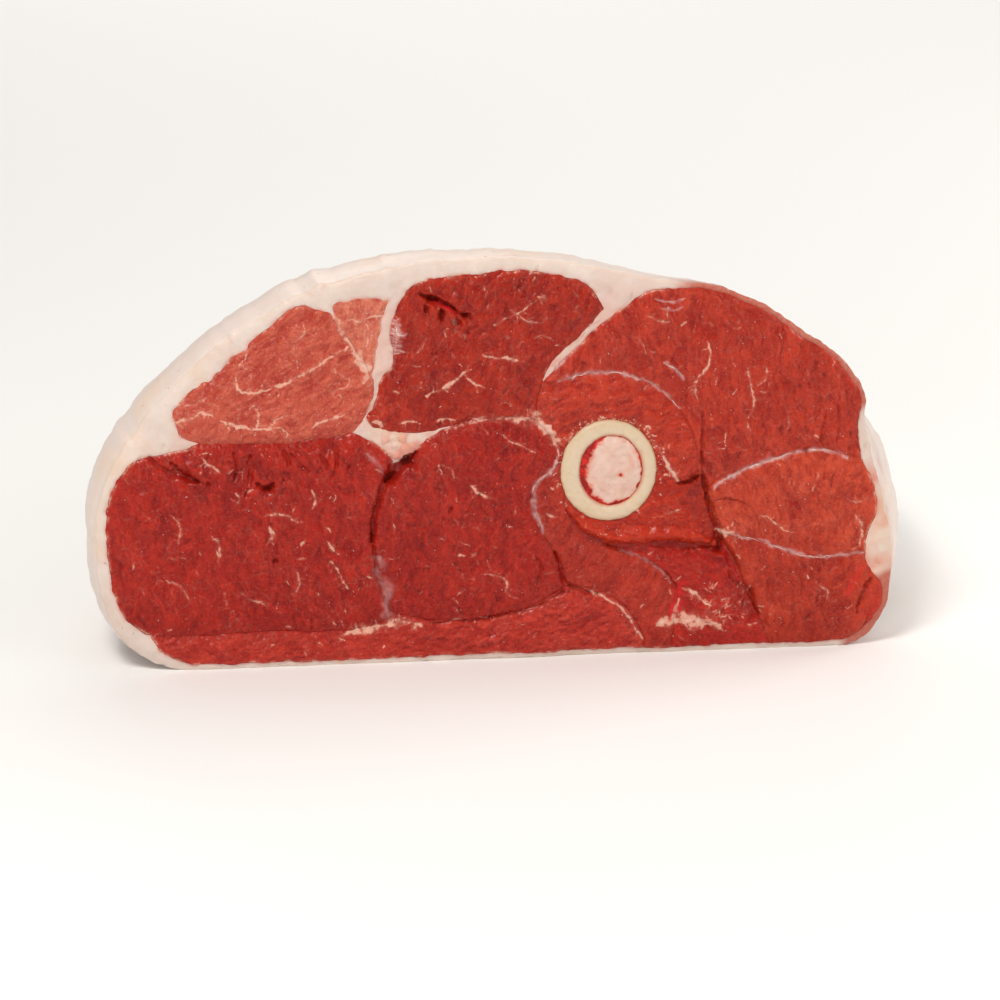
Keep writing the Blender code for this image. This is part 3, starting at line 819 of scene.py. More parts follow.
VEINS = drawn(
    Mark.VEIN,
    # Eye of round: the inner septum and the branching veins at its lower left
    (0.8, -0.1, [(-95.2, 34.6), (-97.4, 31), (-98.4, 28), (-97, 25.2), (-93.8, 24.6), (-89, 25.6),
     (-84, 27.6), (-79.4, 30), (-74.6, 32.8), (-68.2, 36.4)], 0.75, 0.7),
    (1.1, -0.1, [(-102, 17.6), (-98.6, 15.6), (-95.4, 15.2), (-92, 14.6), (-86.6, 15.4)], 0.95),
    (0.7, 0, [(-93.4, 15), (-92.4, 17.6), (-93.2, 20.4)], 0.8),
    (0.7, 0, [(-87, 15.2), (-85.2, 13.2), (-85.6, 11.6)], 0.8),
    (0.6, 0, [(-90, 14.8), (-87.4, 17.4), (-83.4, 18.4)], 0.6),
    (0.8, 0, [(-78.4, 14.8), (-75.6, 16.4), (-73, 17), (-69, 18.6)], 0.8),
    (0.6, 0, [(-75.6, 24.2), (-72.4, 24.4), (-69.4, 25.6), (-68.4, 28.4)], 0.65),
    (1.5, 0, [(-114.4, 17.2), (-110.6, 18.2), (-107.2, 19.6), (-104.4, 19)], 0.8),
    (0.9, 0, [(-112.6, 21.4), (-109, 22), (-106, 23.6)], 0.6),
    (0.7, 0, [(-83.4, 38), (-80.6, 40.4), (-80.4, 43.6)], 0.5), (0.6, 0, [(-103, 27), (-99.6, 26)], 0.5),
    # The small triangular muscle and the white seam along its left
    (1.2, -0.1, [(-72.6, 45), (-71, 41.4), (-68.4, 37.2), (-65.8, 32.8), (-63.6, 28.8)], 1, 0.8),
    (2.4, -0.1, [(-66, 34), (-64.4, 31), (-62.8, 27.4)], 1, 0.8),
    (0.9, 0, [(-68.4, 43.6), (-65, 43.4), (-62.4, 44.6), (-59.6, 44)], 0.8),
    (0.7, 0, [(-64, 36), (-63.4, 40), (-64.6, 43.6)], 0.6),
    (0.6, 0, [(-66, 47.6), (-64.4, 45.4), (-61.4, 46.6)], 0.5),
    # Biceps
    (0.9, 0, [(-48.4, 22.4), (-44.6, 24), (-41, 26.2), (-38.4, 28.6), (-36.6, 29.2)], 0.95),
    (0.7, 0, [(-37.8, 27.4), (-35.8, 25.4), (-33, 24.2)], 0.7),
    (1.1, 0, [(-28.4, 31.8), (-26.4, 32.2), (-24.8, 31.2)], 0.95),
    (0.6, 0, [(-27, 31.8), (-30, 32), (-33.4, 33.4)], 0.7),
    (0.6, 0, [(-30.4, 41), (-26.6, 43), (-23.6, 44.6), (-20.6, 46.4), (-17.8, 48.2)], 0.6),
    (0.6, 0, [(-24.6, 44), (-22, 42), (-17.6, 41.6)], 0.5), (1.2, 0, [(-19, 48.4), (-17, 48)], 0.8),
    (0.9, 0, [(-26, 44.6), (-24.2, 43.8)], 0.7), (0.7, 0, [(-45.4, 15.2), (-42.4, 16), (-40.4, 15.4)], 0.8),
    (0.7, 0, [(-37, 16.2), (-34.4, 15.6), (-32.6, 16.4)], 0.7),
    (0.8, 0, [(-55.4, 14.8), (-52.4, 15.4), (-50, 14.8)], 0.8),
    (1.6, -0.1, [(-61.8, 15.4), (-59.6, 14.6)], 0.9),
    (0.5, 0, [(-52.4, 33), (-49.6, 35.4), (-48.4, 38.4)], 0.5),
    (0.5, 0, [(-14.4, 36.4), (-17.6, 37.8), (-20.4, 36.8)], 0.5),
    # Inside round
    (0.8, 0, [(-107.4, 7.4), (-106, 5.4), (-103, 3.4)], 0.8),
    (0.8, 0, [(-98.8, -2.6), (-97.8, -4.4), (-98.6, -6)], 0.7),
    (0.9, 0, [(-91.4, -9), (-88.4, -8.6), (-85.4, -9.6), (-82.6, -11.2)], 0.85),
    (1.3, 0, [(-90.4, -12.6), (-89.6, -14.6), (-90.4, -16.6)], 0.9),
    (0.7, 0, [(-79, -2.6), (-78, -5), (-78.8, -7.4)], 0.75),
    (0.9, 0, [(-74.8, -16.8), (-73.6, -19), (-71.8, -21)], 0.85),
    (0.8, 0, [(-74.2, -22.2), (-72, -25.4), (-70.8, -28), (-69.2, -30.6)], 0.75),
    (0.7, 0, [(-84, -24), (-82.4, -27.4), (-83.2, -31)], 0.55),
    (0.8, 0, [(-106, -14), (-103.4, -17), (-103.8, -21.4)], 0.6),
    (0.8, 0, [(-116, -8), (-113.4, -11), (-114, -15.4)], 0.55),
    (0.7, 0, [(-98, -30), (-95, -32.6), (-90.6, -33.4)], 0.5),
    (0.6, 0, [(-117.6, -26), (-113.4, -28.4), (-111.4, -33)], 0.5),
    # Dark round by the bone
    (0.6, 0, [(-57.8, -5.4), (-57.2, -7)], 0.7), (0.6, 0, [(-57.4, -12.4), (-56.8, -13.8)], 0.7),
    (0.8, 0, [(-37, -2.4), (-34.4, -4.6), (-31, -6.4)], 0.75),
    (0.6, 0, [(-29.4, 11.6), (-26.6, 9.6), (-23.4, 8.4), (-19.8, 5.8)], 0.6),
    (0.6, 0, [(-33.4, -27.2), (-30, -27.8), (-27, -29.8), (-27.4, -33), (-24.4, -35)], 0.6),
    (0.6, 0, [(-45.6, 3.6), (-42.4, 2.4), (-40.8, -0.4)], 0.5),
    (3.2, -0.2, [(-24.4, 15.2), (-20.6, 15.4), (-17.6, 13.6), (-15.4, 11.2)], 1, 0.3),
    (0.9, 0, [(-41, 13.4), (-36, 14.9), (-30, 15.4), (-24, 15.4)], 0.55, 0.6),
    # Knuckle and its inner crescent
    (0.7, 0, [(26.2, 35), (26.6, 31.4), (26.2, 28.4), (24, 25.4), (22.8, 23.4), (23.2, 19)], 0.75),
    (0.6, 0, [(36, 29), (37, 26), (37.6, 22.6), (38.8, 17), (37, 14)], 0.6),
    (0.5, 0, [(41.6, 28.2), (41.2, 24.4), (39.2, 22.4)], 0.55),
    (0.6, 0, [(31.2, 10.2), (30.8, 8), (31.4, 5.6)], 0.7), (0.5, 0, [(47, 17), (48, 13), (47.2, 9.4)], 0.4),
    (0.5, 0, [(6.6, 37), (9, 34.6), (9.6, 32)], 0.4), (0.8, 0, [(9.8, 42.8), (12.6, 41.4), (16, 40.6)], 0.55),
    (1, -0.1, [(14.6, 3.6), (16.2, 0.8), (17.2, -1), (19, -3.2)], 1, 0.7),
    (2, -0.1, [(-14.8, 11.2), (-13.8, 8), (-13.4, 5)], 0.9),
    # Below the bone, the two front muscles and the tail
    (1.8, -0.1, [(29.6, -17.6), (31.6, -18.2), (34.6, -18.8)], 1),
    (0.8, 0, [(40, -13), (43.6, -14.8), (46.6, -17.4), (49.8, -19)], 0.75),
    (0.6, 0, [(12, -13), (15.4, -12.4), (19.2, -11)], 0.7), (0.8, -0.3, [(7.6, -11), (8.4, -12)], 1, 0.9),
    (0.9, -0.1, [(20.6, -33.6), (23.4, -35.2), (25.6, -37.4), (29, -38.8)], 0.95),
    (1.1, -0.1, [(19.6, -36.6), (18.6, -39.6), (17.6, -42.4)], 0.9),
    (3.4, -0.1, [(14.4, -43.6), (18, -42.8), (22, -43), (25.6, -43.2), (30, -44.4)], 1, 0.5),
    (1.8, -0.1, [(-71, -43.4), (-66, -42.4), (-61, -41.4), (-56, -40.6), (-50, -41.2)], 0.9),
    (0.8, 0, [(-42, -40.2), (-39, -40.4)], 0.7), (0.7, 0, [(-34.6, -40), (-32.4, -40.2)], 0.7),
    (0.8, -0.1, [(-5, -33.7), (0, -35.6), (4.4, -39.6), (7.5, -44), (9.6, -48)], 0.75, 0.6),
    (0.6, 0, [(56, -33), (59, -35.4), (59.6, -38.4)], 0.5),
    (0.5, 0, [(47, -30), (50.4, -31), (52.4, -34.4)], 0.4),
    (1, 0, [(66.4, -14), (68.4, -18), (67.6, -23)], 0.6),
    (0.8, 0, [(64, -9.6), (67, -10.6), (69.6, -9.6)], 0.5),
)

FILMS = drawn(
    Mark.FILM,
    (1.2, -0.1, [(-13.8, 4.6), (-14.2, 1.8), (-17, -0.8), (-19.6, -3.4), (-20.1, -6.4), (-19.2, -11),
     (-17.2, -16.4)], 0.9, 0.5),
    (1.1, -0.1, [(28.2, -5.4), (30.6, -3.4), (34.6, -1.6), (40, 0.6), (45.8, 2.2), (49.8, 3.3), (57.8, 3.7),
     (64, 2)], 0.95, 0.6),
    (0.9, -0.1, [(33, -19), (37, -20), (42.6, -21.6), (48.6, -24), (55, -25.8), (62, -25.8),
     (69, -25)], 0.8, 0.6),
    (1, -0.1, [(-13.6, 24.8), (-9, 26.4), (-3, 27.2), (3, 26.7), (7.6, 25.2)], 0.85, 0.5),
    (0.6, 0, [(6, 25.8), (10, 24.4), (14.6, 21.3), (19, 16.6)], 0.55, 0.5),
    (0.9, 0, [(14.4, 29.8), (17.2, 27.8), (19.8, 24.8)], 0.75),
    (0.8, 0, [(3, -22.4), (9, -24.6), (14, -28), (17, -32)], 0.45),
    (2.6, 0, [(-61, -22), (-60.4, -28), (-58.8, -33.6), (-59.6, -38.6)], 0.45, 0.6),
    (1.6, 0, [(-64.4, 7.2), (-61.4, 4.4), (-60, 1)], 0.35),
    (0.7, 0, [(-56.8, 35), (-55.8, 38.4), (-56.2, 42.4)], 0.7),
    (0.7, 0, [(12, 46.6), (15.6, 46), (20, 47.2)], 0.6),
    (0.6, 0, [(13, 44.4), (16.6, 44), (19.8, 44.8)], 0.45),
    (0.7, 0, [(-4.6, 38.6), (-9.4, 33.6), (-13.8, 28.6)], 0.7, 0.5),
    (0.5, 0, [(-1.2, 42.4), (-5.4, 39), (-9.6, 35)], 0.6),
)

BLOOD = drawn(
    Mark.BLOOD,
    (2, 0.3, [(19.8, -32.2), (18.8, -35.2), (17.9, -38.2), (16.9, -42)], 1, 0.7),
    (1.1, 0, [(20.2, -37), (19.2, -40.4)], 0.8), (5, 0, [(73.4, -35), (72.4, -40), (70.6, -43)], 0.2, 0.7),
    (2.4, 0, [(65, -36), (66.4, -32.6), (69.4, -29)], 0.5, 0.7),
    (1.2, 0, [(31, -22), (33, -27), (36.4, -33)], 0.6, 0.6),
    (1, 0, [(-46.6, 48), (-43.4, 46.8), (-40.4, 44.6)], 0.8, 0.6),
)

FINE_VEINS = (
    *(branch for vein in VEINS for branch in vein.branches()),
    *threads(420, (-130.0, -50.0), (74.0, 54.0), 71), *threads(70, (27.0, -45.0), (38.0, -34.0), 72),
    *threads(26, (30.0, -21.0), (37.0, -16.0), 73), *fringe(150),
)


def hairs() -> tuple[Line, ...]:
    """Draw the fine hairs of membrane that stick out of the fat left of the outside round.

    Returns:
        The hairs, the same on every run.
    """
    chance = np.random.default_rng(97)
    grown = []
    for v in np.arange(34.0, 43.6, 0.62):
        u, droop = -57.4 + chance.normal(0.0, 0.4), chance.normal(-0.3, 0.5)
        length = chance.uniform(1.2, 3.4)
        points = [(u, v), (u + 0.5 * length, v + 0.3 * droop), (u + length, v + droop)]
        grown.append(Line(Mark.FILM, chance.uniform(0.5, 0.9), 0.0, points, 0.6, 0.4))
    return tuple(grown)


HAIRS = hairs()

SHAPER = Noise(23)
GRAIN = Noise(37)
TONES = Noise(53)


@dataclass(frozen=True)
class CutSurface:
    """The relief and colour that all pieces share on the cut face."""

    swell: float = 0.75
    swell_size: float = 32.0
    ripple: float = 0.30
    ripple_size: float = 8.0
    # How dark the shade painted in the pits is
    pit_shade: float = 0.85

    def measure(self, uv: Array) -> dict[str, Array]:
        """Read the cut face at each point.

        Args:
            uv: Points of the cut face, in mm.

        Returns:
            The relief outwards in mm, and from 0 to 1 the marbling, crevice, film, blood and how lit it
            is. Tone runs from -1, dark, to 1, light.
        """
        u, v = uv[:, 0], uv[:, 1]
        relief = (self.swell * SHAPER.smooth(u, v, self.swell_size)
                  + self.ripple * SHAPER.smooth(u, v, self.ripple_size, 2))
        read = {name: np.zeros(len(uv)) for name in ("marbling", "crevice", "film", "blood", "lit")}

        def draw(name: str, where: tuple[Array, Array], depth: float, strength: float) -> None:
            """Sink the relief and strengthen a reading along a line or in a pit.

            Args:
                name: The reading's name.
                where: The numbers of the points reached, and how much each is, from 0 to 1.
                depth: How deep the relief is there, in mm.
                strength: How strong the reading is there.
            """
            near, much = where
            relief[near] -= depth * much
            read[name][near] = np.maximum(read[name][near], strength * much)

        # Creases, nicks and pits sink the relief and get painted shade; lips raise it and get a painted
        # highlight
        for line in (*CREASES, *NICKS):
            draw("lit" if line.mark is Mark.LIP else "crevice", line.measure(uv), line.depth, line.strength)
        for pit in PITS:
            draw("crevice", self._pit(pit, uv), pit.depth, self.pit_shade)
        for name, lines in (("marbling", VEINS + FINE_VEINS), ("film", FILMS + HAIRS), ("blood", BLOOD)):
            for line in lines:
                draw(name, line.measure(uv), line.depth, line.strength)
        folds = bell(v - 4.0, 5.0) * ramp(-u, 64.0, 70.0) * ramp(u, -116.0, -108.0)
        relief += folds * SHAPER.smooth(u, v * 0.35, 4.2, 2)
        read["tone"] = 0.55 * TONES.smooth(u, v, 13.0, 2) + 0.45 * TONES.smooth(u + 31.0, v, 3.2, 2)
        read["relief"] = relief
        return read

    def _pit(self, pit: Pit, uv: Array) -> tuple[Array, Array]:
        """Find the points in a pit.

        Args:
            pit: The pit.
            uv: Points of the cut face, in mm.

        Returns:
            The numbers of those in the pit, and how deep in it each is, from 0 to 1.
        """
        offset = uv - np.array([pit.u, pit.v])
        near = np.nonzero(np.abs(offset).max(axis=1) < 2.5 * max(pit.across, pit.high))[0]
        du = offset[near, 0] + pit.lean * offset[near, 1]
        rough = 1 + 0.5 * SHAPER.at(uv[near], 1.1)
        return near, np.exp(-(((du / pit.across) ** 2 + (offset[near, 1] / pit.high) ** 2) * rough) ** 1.2)


SURFACE = CutSurface()


def triangulate(loops: list[Array], inner: Array) -> tuple[Array, Array]:
    """Fill closed loops with triangles.

    Args:
        loops: The closed loops, the outer one first and then any holes.
        inner: Points to use inside the loops.

    Returns:
        All the points, one row each in the order given, and each triangle's point numbers, anticlockwise.
    """
    edges, start = [], 0
    for loop in loops:
        count = len(loop)
        edges += [(start + n, start + (n + 1) % count) for n in range(count)]
        start += count
    points = np.vstack([*loops, inner])
    result = delaunay_2d_cdt([Vector(p) for p in points.tolist()], edges, [], 0, 1e-5)
    places = np.array([tuple(p) for p in result[0]])
    triangles = np.array(result[2], np.int64)
    middle = places[triangles].mean(axis=1)
    triangles = triangles[inside(middle, loops)]
    a, b, c = (places[triangles[:, n]] for n in range(3))
    turn = (b[:, 0] - a[:, 0]) * (c[:, 1] - a[:, 1]) - (b[:, 1] - a[:, 1]) * (c[:, 0] - a[:, 0])
    triangles = np.where((turn < 0)[:, None], triangles[:, ::-1], triangles)
    return places, triangles[np.abs(turn) > 1e-9]


def ring_distance(places: Array, loops: list[Array]) -> Array:
    """Measure how far each place is from the nearest point of the loops.

    Args:
        places: The places, in mm.
        loops: The loops, as closely set points.

    Returns:
        The distances in mm.
    """
    rings = np.vstack(loops)
    tree = KDTree(len(rings))
    for n, point in enumerate(rings.tolist()):
        tree.insert((point[0], point[1], 0.0), n)
    tree.balance()
    return np.array([tree.find((x, y, 0.0))[2] for x, y in places.tolist()])


def fill(loops: list[Array], step: float) -> tuple[Array, Array]:
    """Fill closed loops with an even mesh.

    Args:
        loops: The closed loops, the outer one first and then any holes.
        step: The distance between two points inside, in mm.

    Returns:
        The points and the triangles, anticlockwise.
    """
    low, high = loops[0].min(axis=0), loops[0].max(axis=0)
    rows = np.arange(low[1], high[1], step * math.sqrt(0.75))
    columns = np.arange(low[0], high[0], step)
    u, v = np.meshgrid(columns, rows)
    u = u + 0.5 * step * (np.arange(len(rows)) % 2)[:, None]
    grid = np.stack([u.ravel(), v.ravel()], axis=1)
    grid = grid + 0.18 * step * np.stack([SHAPER.smooth(grid[:, 0], grid[:, 1], 0.7),
                                          SHAPER.smooth(grid[:, 1], grid[:, 0], 0.7)], axis=1)
    grid = grid[inside(grid, loops)]
    grid = grid[ring_distance(grid, loops) > 0.62 * step]
    places, triangles = triangulate(loops, grid)
    used, number = np.unique(triangles, return_inverse=True)
    return places[used], number.reshape(-1, 3)


@dataclass
class Solid:
    """A closed mesh that is being put together: places in metres, triangles and readings for each point."""

    places: list[Array] = field(default_factory=list)
    triangles: list[Array] = field(default_factory=list)
    readings: list[dict[str, Array]] = field(default_factory=list)
    count: int = 0

    def add(self, places: Array, readings: dict[str, Array]) -> int:
        """Add points.

        Args:
            places: Their places in metres, one row each.
            readings: Their attributes, by name.

        Returns:
            The first one's number.
        """
        start = self.count
        self.places.append(places)
        self.readings.append(readings)
        self.count += len(places)
        return start

    def face(self, triangles: Array) -> None:
        """Add triangles, given as rows of point numbers."""
        self.triangles.append(triangles)

    def strip(self, lower: Array, upper: Array) -> None:
        """Join two closed rings of as many points with a band that faces outwards.

        Args:
            lower: Point numbers of the ring nearer the cut face, in the cut face's direction.
            upper: Point numbers of the next ring.
        """
        a, b = lower, np.roll(lower, -1)
        c, d = upper, np.roll(upper, -1)
        self.face(np.stack([b, a, c], axis=1))
        self.face(np.stack([b, c, d], axis=1))

    def finished(self, name: str, material: bpy.types.Material) -> bpy.types.Object:
        """Make the Blender object.

        Args:
            name: The object's name.
            material: Its finish.

        Returns:
            The object, linked to the scene, with its attributes on its points.
        """
        places, triangles = np.vstack(self.places), np.vstack(self.triangles)
        used, number = np.unique(triangles, return_inverse=True)
        places, triangles = places[used], number.reshape(-1, 3)
        mesh = bpy.data.meshes.new(name)
        mesh.vertices.add(len(places))
        mesh.vertices.foreach_set("co", places.astype(np.float32).ravel())
        mesh.loops.add(len(triangles) * 3)
        mesh.loops.foreach_set("vertex_index", triangles.astype(np.int32).ravel())
        mesh.polygons.add(len(triangles))
        mesh.polygons.foreach_set("loop_start", np.arange(0, len(triangles) * 3, 3, dtype=np.int32))
        mesh.update(calc_edges=True)
        mesh.validate()
        for key in self.readings[0]:
            values = np.concatenate([part.get(key, np.zeros(len(at)))
                                     for part, at in zip(self.readings, self.places)])
            layer = mesh.attributes.new(key, "FLOAT", "POINT")
            layer.data.foreach_set("value", values[used].astype(np.float32))
        mesh.shade_smooth()
        mesh.materials.append(material)
        return shown(name, mesh)


def shown(name: str, data: bpy.types.ID) -> bpy.types.Object:
    """Put something into the scene.

    Args:
        name: The new object's name.
        data: Its mesh, light or camera.

    Returns:
        The object.
    """
    thing = bpy.data.objects.new(name, data)
    bpy.context.scene.collection.objects.link(thing)
    return thing


def placed(piece: bpy.types.Object, slot: str, *nodes: str) -> bpy.types.Object:
    """Hand a finished piece to the frame.

    Args:
        piece: The finished piece.
        slot: The record's material slot that it takes its finish from. It is not used.
        nodes: The CAD nodes that it stands for.

    Returns:
        The piece.
    """
    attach(piece, "root")
    if nodes:
        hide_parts(*nodes)
    LOG.info("%s: %d triangles", piece.name, len(piece.data.polygons))
    return piece


class Tree:
    """A node tree while it is being drawn."""

    tree: bpy.types.NodeTree

    def node(self, kind: str, settings: dict[str, object] | None = None, **values: object) -> bpy.types.Node:
        """Add a node.

        Args:
            kind: Its type.
            settings: Its own settings.
            values: What goes into its inputs, named with _ for a space or by number as in n0: numbers, or
                sockets to join.

        Returns:
            The node.
        """
        node = self.tree.nodes.new(kind)
        for key, value in (settings or {}).items():
            setattr(node, key, value)
        for key, value in values.items():
            numbered = key[0] == "n" and key[1:].isdigit()
            socket = node.inputs[int(key[1:])] if numbered else node.inputs[key.replace("_", " ")]
            if isinstance(value, Socket):
                self.tree.links.new(value, socket)
            else:
                socket.default_value = value
        return node


class Shader(Tree):
    """A material's node tree."""

    def __init__(self, name: str) -> None:
        """Start a material with only a Principled shader and its output.

        Args:
            name: The material's name.
        """
        self.material = bpy.data.materials.new(name)
        self.material.use_nodes = True
        self.tree = self.material.node_tree
        self.tree.nodes.clear()
        self.skin = self.node("ShaderNodeBsdfPrincipled")
        self.node("ShaderNodeOutputMaterial", Surface=self.skin.outputs[0])
        self.place = self.node("ShaderNodeTexCoord").outputs["Object"]

    def set(self, **values: object) -> None:
        """Set the shader's own sockets, named with _ for a space."""
        for name, value in values.items():
            self.skin.inputs[name.replace("_", " ")].default_value = value

    def link(self, source: Socket, socket: str) -> None:
        """Join a value to one of the shader's sockets."""
        self.tree.links.new(source, self.skin.inputs[socket])

    def reading(self, name: str) -> Socket:
        """Read one of the piece's attributes, by name."""
        return self.node("ShaderNodeAttribute", {"attribute_name": name}).outputs["Fac"]

    def noise(self, size: float, detail: float = 2.0, stretch: Triple = (1.0, 1.0, 1.0),
              rough: float = 0.55) -> Socket:
        """Draw noise.

        Args:
            size: The length of its largest bumps, in mm.
            detail: How many finer layers it has.
            stretch: How much longer the bumps are along each axis.
            rough: How strong each finer layer is.

        Returns:
            The noise, about 0 to 1.
        """
        scale = [1.0 / (size * MM * longer) for longer in stretch]
        mapping = self.node("ShaderNodeMapping", Vector=self.place, Scale=scale)
        return self.node("ShaderNodeTexNoise", Vector=mapping.outputs[0], Scale=1.0, Detail=detail,
                         Roughness=rough).outputs["Fac"]

    def math(self, kind: str, a: object, b: object = 0.0, c: float = 0.0, clamp: bool = False) -> Socket:
        """Work out a sum of numbers or sockets.

        Args:
            kind: The Math node's operation.
            a: The first number or socket.
            b: The second number or socket.
            c: The third number, for the operations that take one.
            clamp: True to keep the result from 0 to 1.

        Returns:
            The result.
        """
        settings = {"operation": kind, "use_clamp": clamp}
        return self.node("ShaderNodeMath", settings, n0=a, n1=b, n2=c).outputs[0]

    def fit(self, value: Socket, scale: float, start: float) -> Socket:
        """Scale a value and add a starting value to it."""
        return self.math("MULTIPLY_ADD", value, scale, start)

    def cover(self, under: object, over: object, amount: float, where: "str | Socket") -> Socket:
        """Lay one colour over another.

        Args:
            under: The colour or socket below.
            over: The colour or socket on top.
            amount: How much of it there is where it is strongest, from 0 to 1.
            where: Where it lies, as a reading's name or a socket.

        Returns:
            The mixed colour.
        """
        share = self.reading(where) if isinstance(where, str) else where
        return self.mix(self.math("MULTIPLY", share, amount), under, over)

    def rise(self, value: Socket, low: float, high: float) -> Socket:
        """Rise smoothly from 0 where the value is low to 1 where it is high.

        Args:
            value: The socket that gives the value.
            low: Where the rise starts.
            high: Where it ends.

        Returns:
            The socket that gives the result.
        """
        return self.node("ShaderNodeMapRange", {"interpolation_type": "SMOOTHSTEP"}, Value=value,
                         From_Min=low, From_Max=high).outputs["Result"]

    def mix(self, share: object, a: object, b: object) -> Socket:
        """Mix two colours.

        Args:
            share: How much of the second there is.
            a: The first colour or socket.
            b: The second colour or socket.

        Returns:
            The mixed colour.
        """
        a, b = ((*colour, 1.0) if isinstance(colour, tuple) else colour for colour in (a, b))
        return self.node("ShaderNodeMix", {"data_type": "RGBA"}, n0=share, n6=a, n7=b).outputs[2]

    def bump(self, height: Socket, depth: float) -> None:
        """Add fine relief over any already added.

        Args:
            height: The socket that gives the height, from 0 to 1.
            depth: How deep the relief is, in mm.
        """
        node = self.node("ShaderNodeBump", Distance=depth * MM, Height=height)
        normal = self.skin.inputs["Normal"]
        if normal.links:
            self.tree.links.new(normal.links[0].from_socket, node.inputs["Normal"])
        self.tree.links.new(node.outputs[0], normal)


@dataclass(frozen=True)
class Finish:
    """A finish: its name, and the record's material slot that it belongs to."""

    name: str
    slot: str

    def make(self) -> bpy.types.Material:
        """Make the material."""
        raise NotImplementedError


@dataclass(frozen=True)
class MeatFinish(Finish):
    """Raw lean meat, moist, with its marbling. Colours are linear."""

    base: Colour = (0.38, 0.037, 0.024)
    contrast: float = 0.30
    grains: float = 0.10
    fat: Colour = (0.74, 0.38, 0.28)
    suet: Colour = (0.80, 0.58, 0.49)
    film: Colour = (0.70, 0.47, 0.46)
    # Painted shade in crevices, and near-black painted shadow where they are deepest
    deep: Colour = (0.145, 0.008, 0.006)
    hole: Colour = (0.030, 0.001, 0.001)
    blood: Colour = (0.64, 0.010, 0.016)

    def make(self) -> bpy.types.Material:
        """Make the material.

        Returns:
            The material, which reads the piece's tone, marbling, film, blood and the shade painted in
            crevices.
        """
        shader = Shader(self.name)
        fine = shader.noise(0.55, 3.0, rough=0.65)
        tone = shader.fit(shader.reading("tone"), 0.5, 0.5)
        speckle = shader.math("MAXIMUM", shader.math("SUBTRACT", fine, 0.5), -0.10)
        tone = shader.math("ADD", tone, shader.math("MULTIPLY", speckle, 0.9), clamp=True)
        # The tone, from dark to light, holds the meat's own tones and the painted light and shade that follow
        # the relief and the lit lips
        low, high = 1 - self.contrast, 1 + self.contrast
        red, green, blue = self.base
        dark = (red * low, green * low * 0.5, blue * low * 0.5)
        light = (red * high * 0.98, green * high * 1.9 + 0.006, blue * high * 1.7 + 0.003)
        colour = shader.mix(tone, dark, light)
        grains = shader.rise(shader.noise(0.75, 3.0, rough=0.7), 0.56, 0.70)
        colour = shader.cover(colour, self.fat, self.grains, grains)
        wet = shader.rise(shader.noise(1.1, 2.0), 0.42, 0.66)
        ragged = shader.math("MULTIPLY", shader.math("SUBTRACT", shader.noise(0.7, 3.0, rough=0.7), 0.5), 0.9)
        solid = shader.rise(shader.math("ADD", shader.reading("marbling"), ragged), 0.20, 0.66)
        haze = shader.math("MULTIPLY", shader.reading("marbling"), 0.42)
        thick = shader.rise(shader.reading("marbling"), 0.80, 1.0)
        fat = shader.cover(self.fat, self.suet, 0.7, thick)
        colour = shader.mix(shader.math("MAXIMUM", shader.math("MULTIPLY", solid, 0.88), haze), colour, fat)
        colour = shader.cover(colour, self.film, 0.80, "film")
        colour = shader.cover(colour, self.blood, 0.85, "blood")
        # Painted shade in crevices, turning to near-black painted shadow where they are deepest
        crevice = shader.math("MINIMUM", shader.reading("crevice"), 1.0)
        colour = shader.cover(colour, self.deep, 0.72, crevice)
        colour = shader.mix(shader.rise(shader.reading("crevice"), 0.80, 1.25), colour, self.hole)
        shader.link(colour, "Base Color")
        shader.link(shader.fit(wet, 0.22, 0.24), "Roughness")
        shader.bump(shader.noise(0.45, 3.0, rough=0.6), 0.09)
        shader.bump(shader.noise(1.3, 2.0, (1.0, 1.0, 1.6)), 0.13)
        shader.set(Coat_Weight=0.23, Coat_Roughness=0.10, Subsurface_Weight=0.08, Subsurface_Scale=0.0010,
                   Subsurface_Radius=(1.0, 0.25, 0.15), Specular_IOR_Level=0.12)
        return shader.material


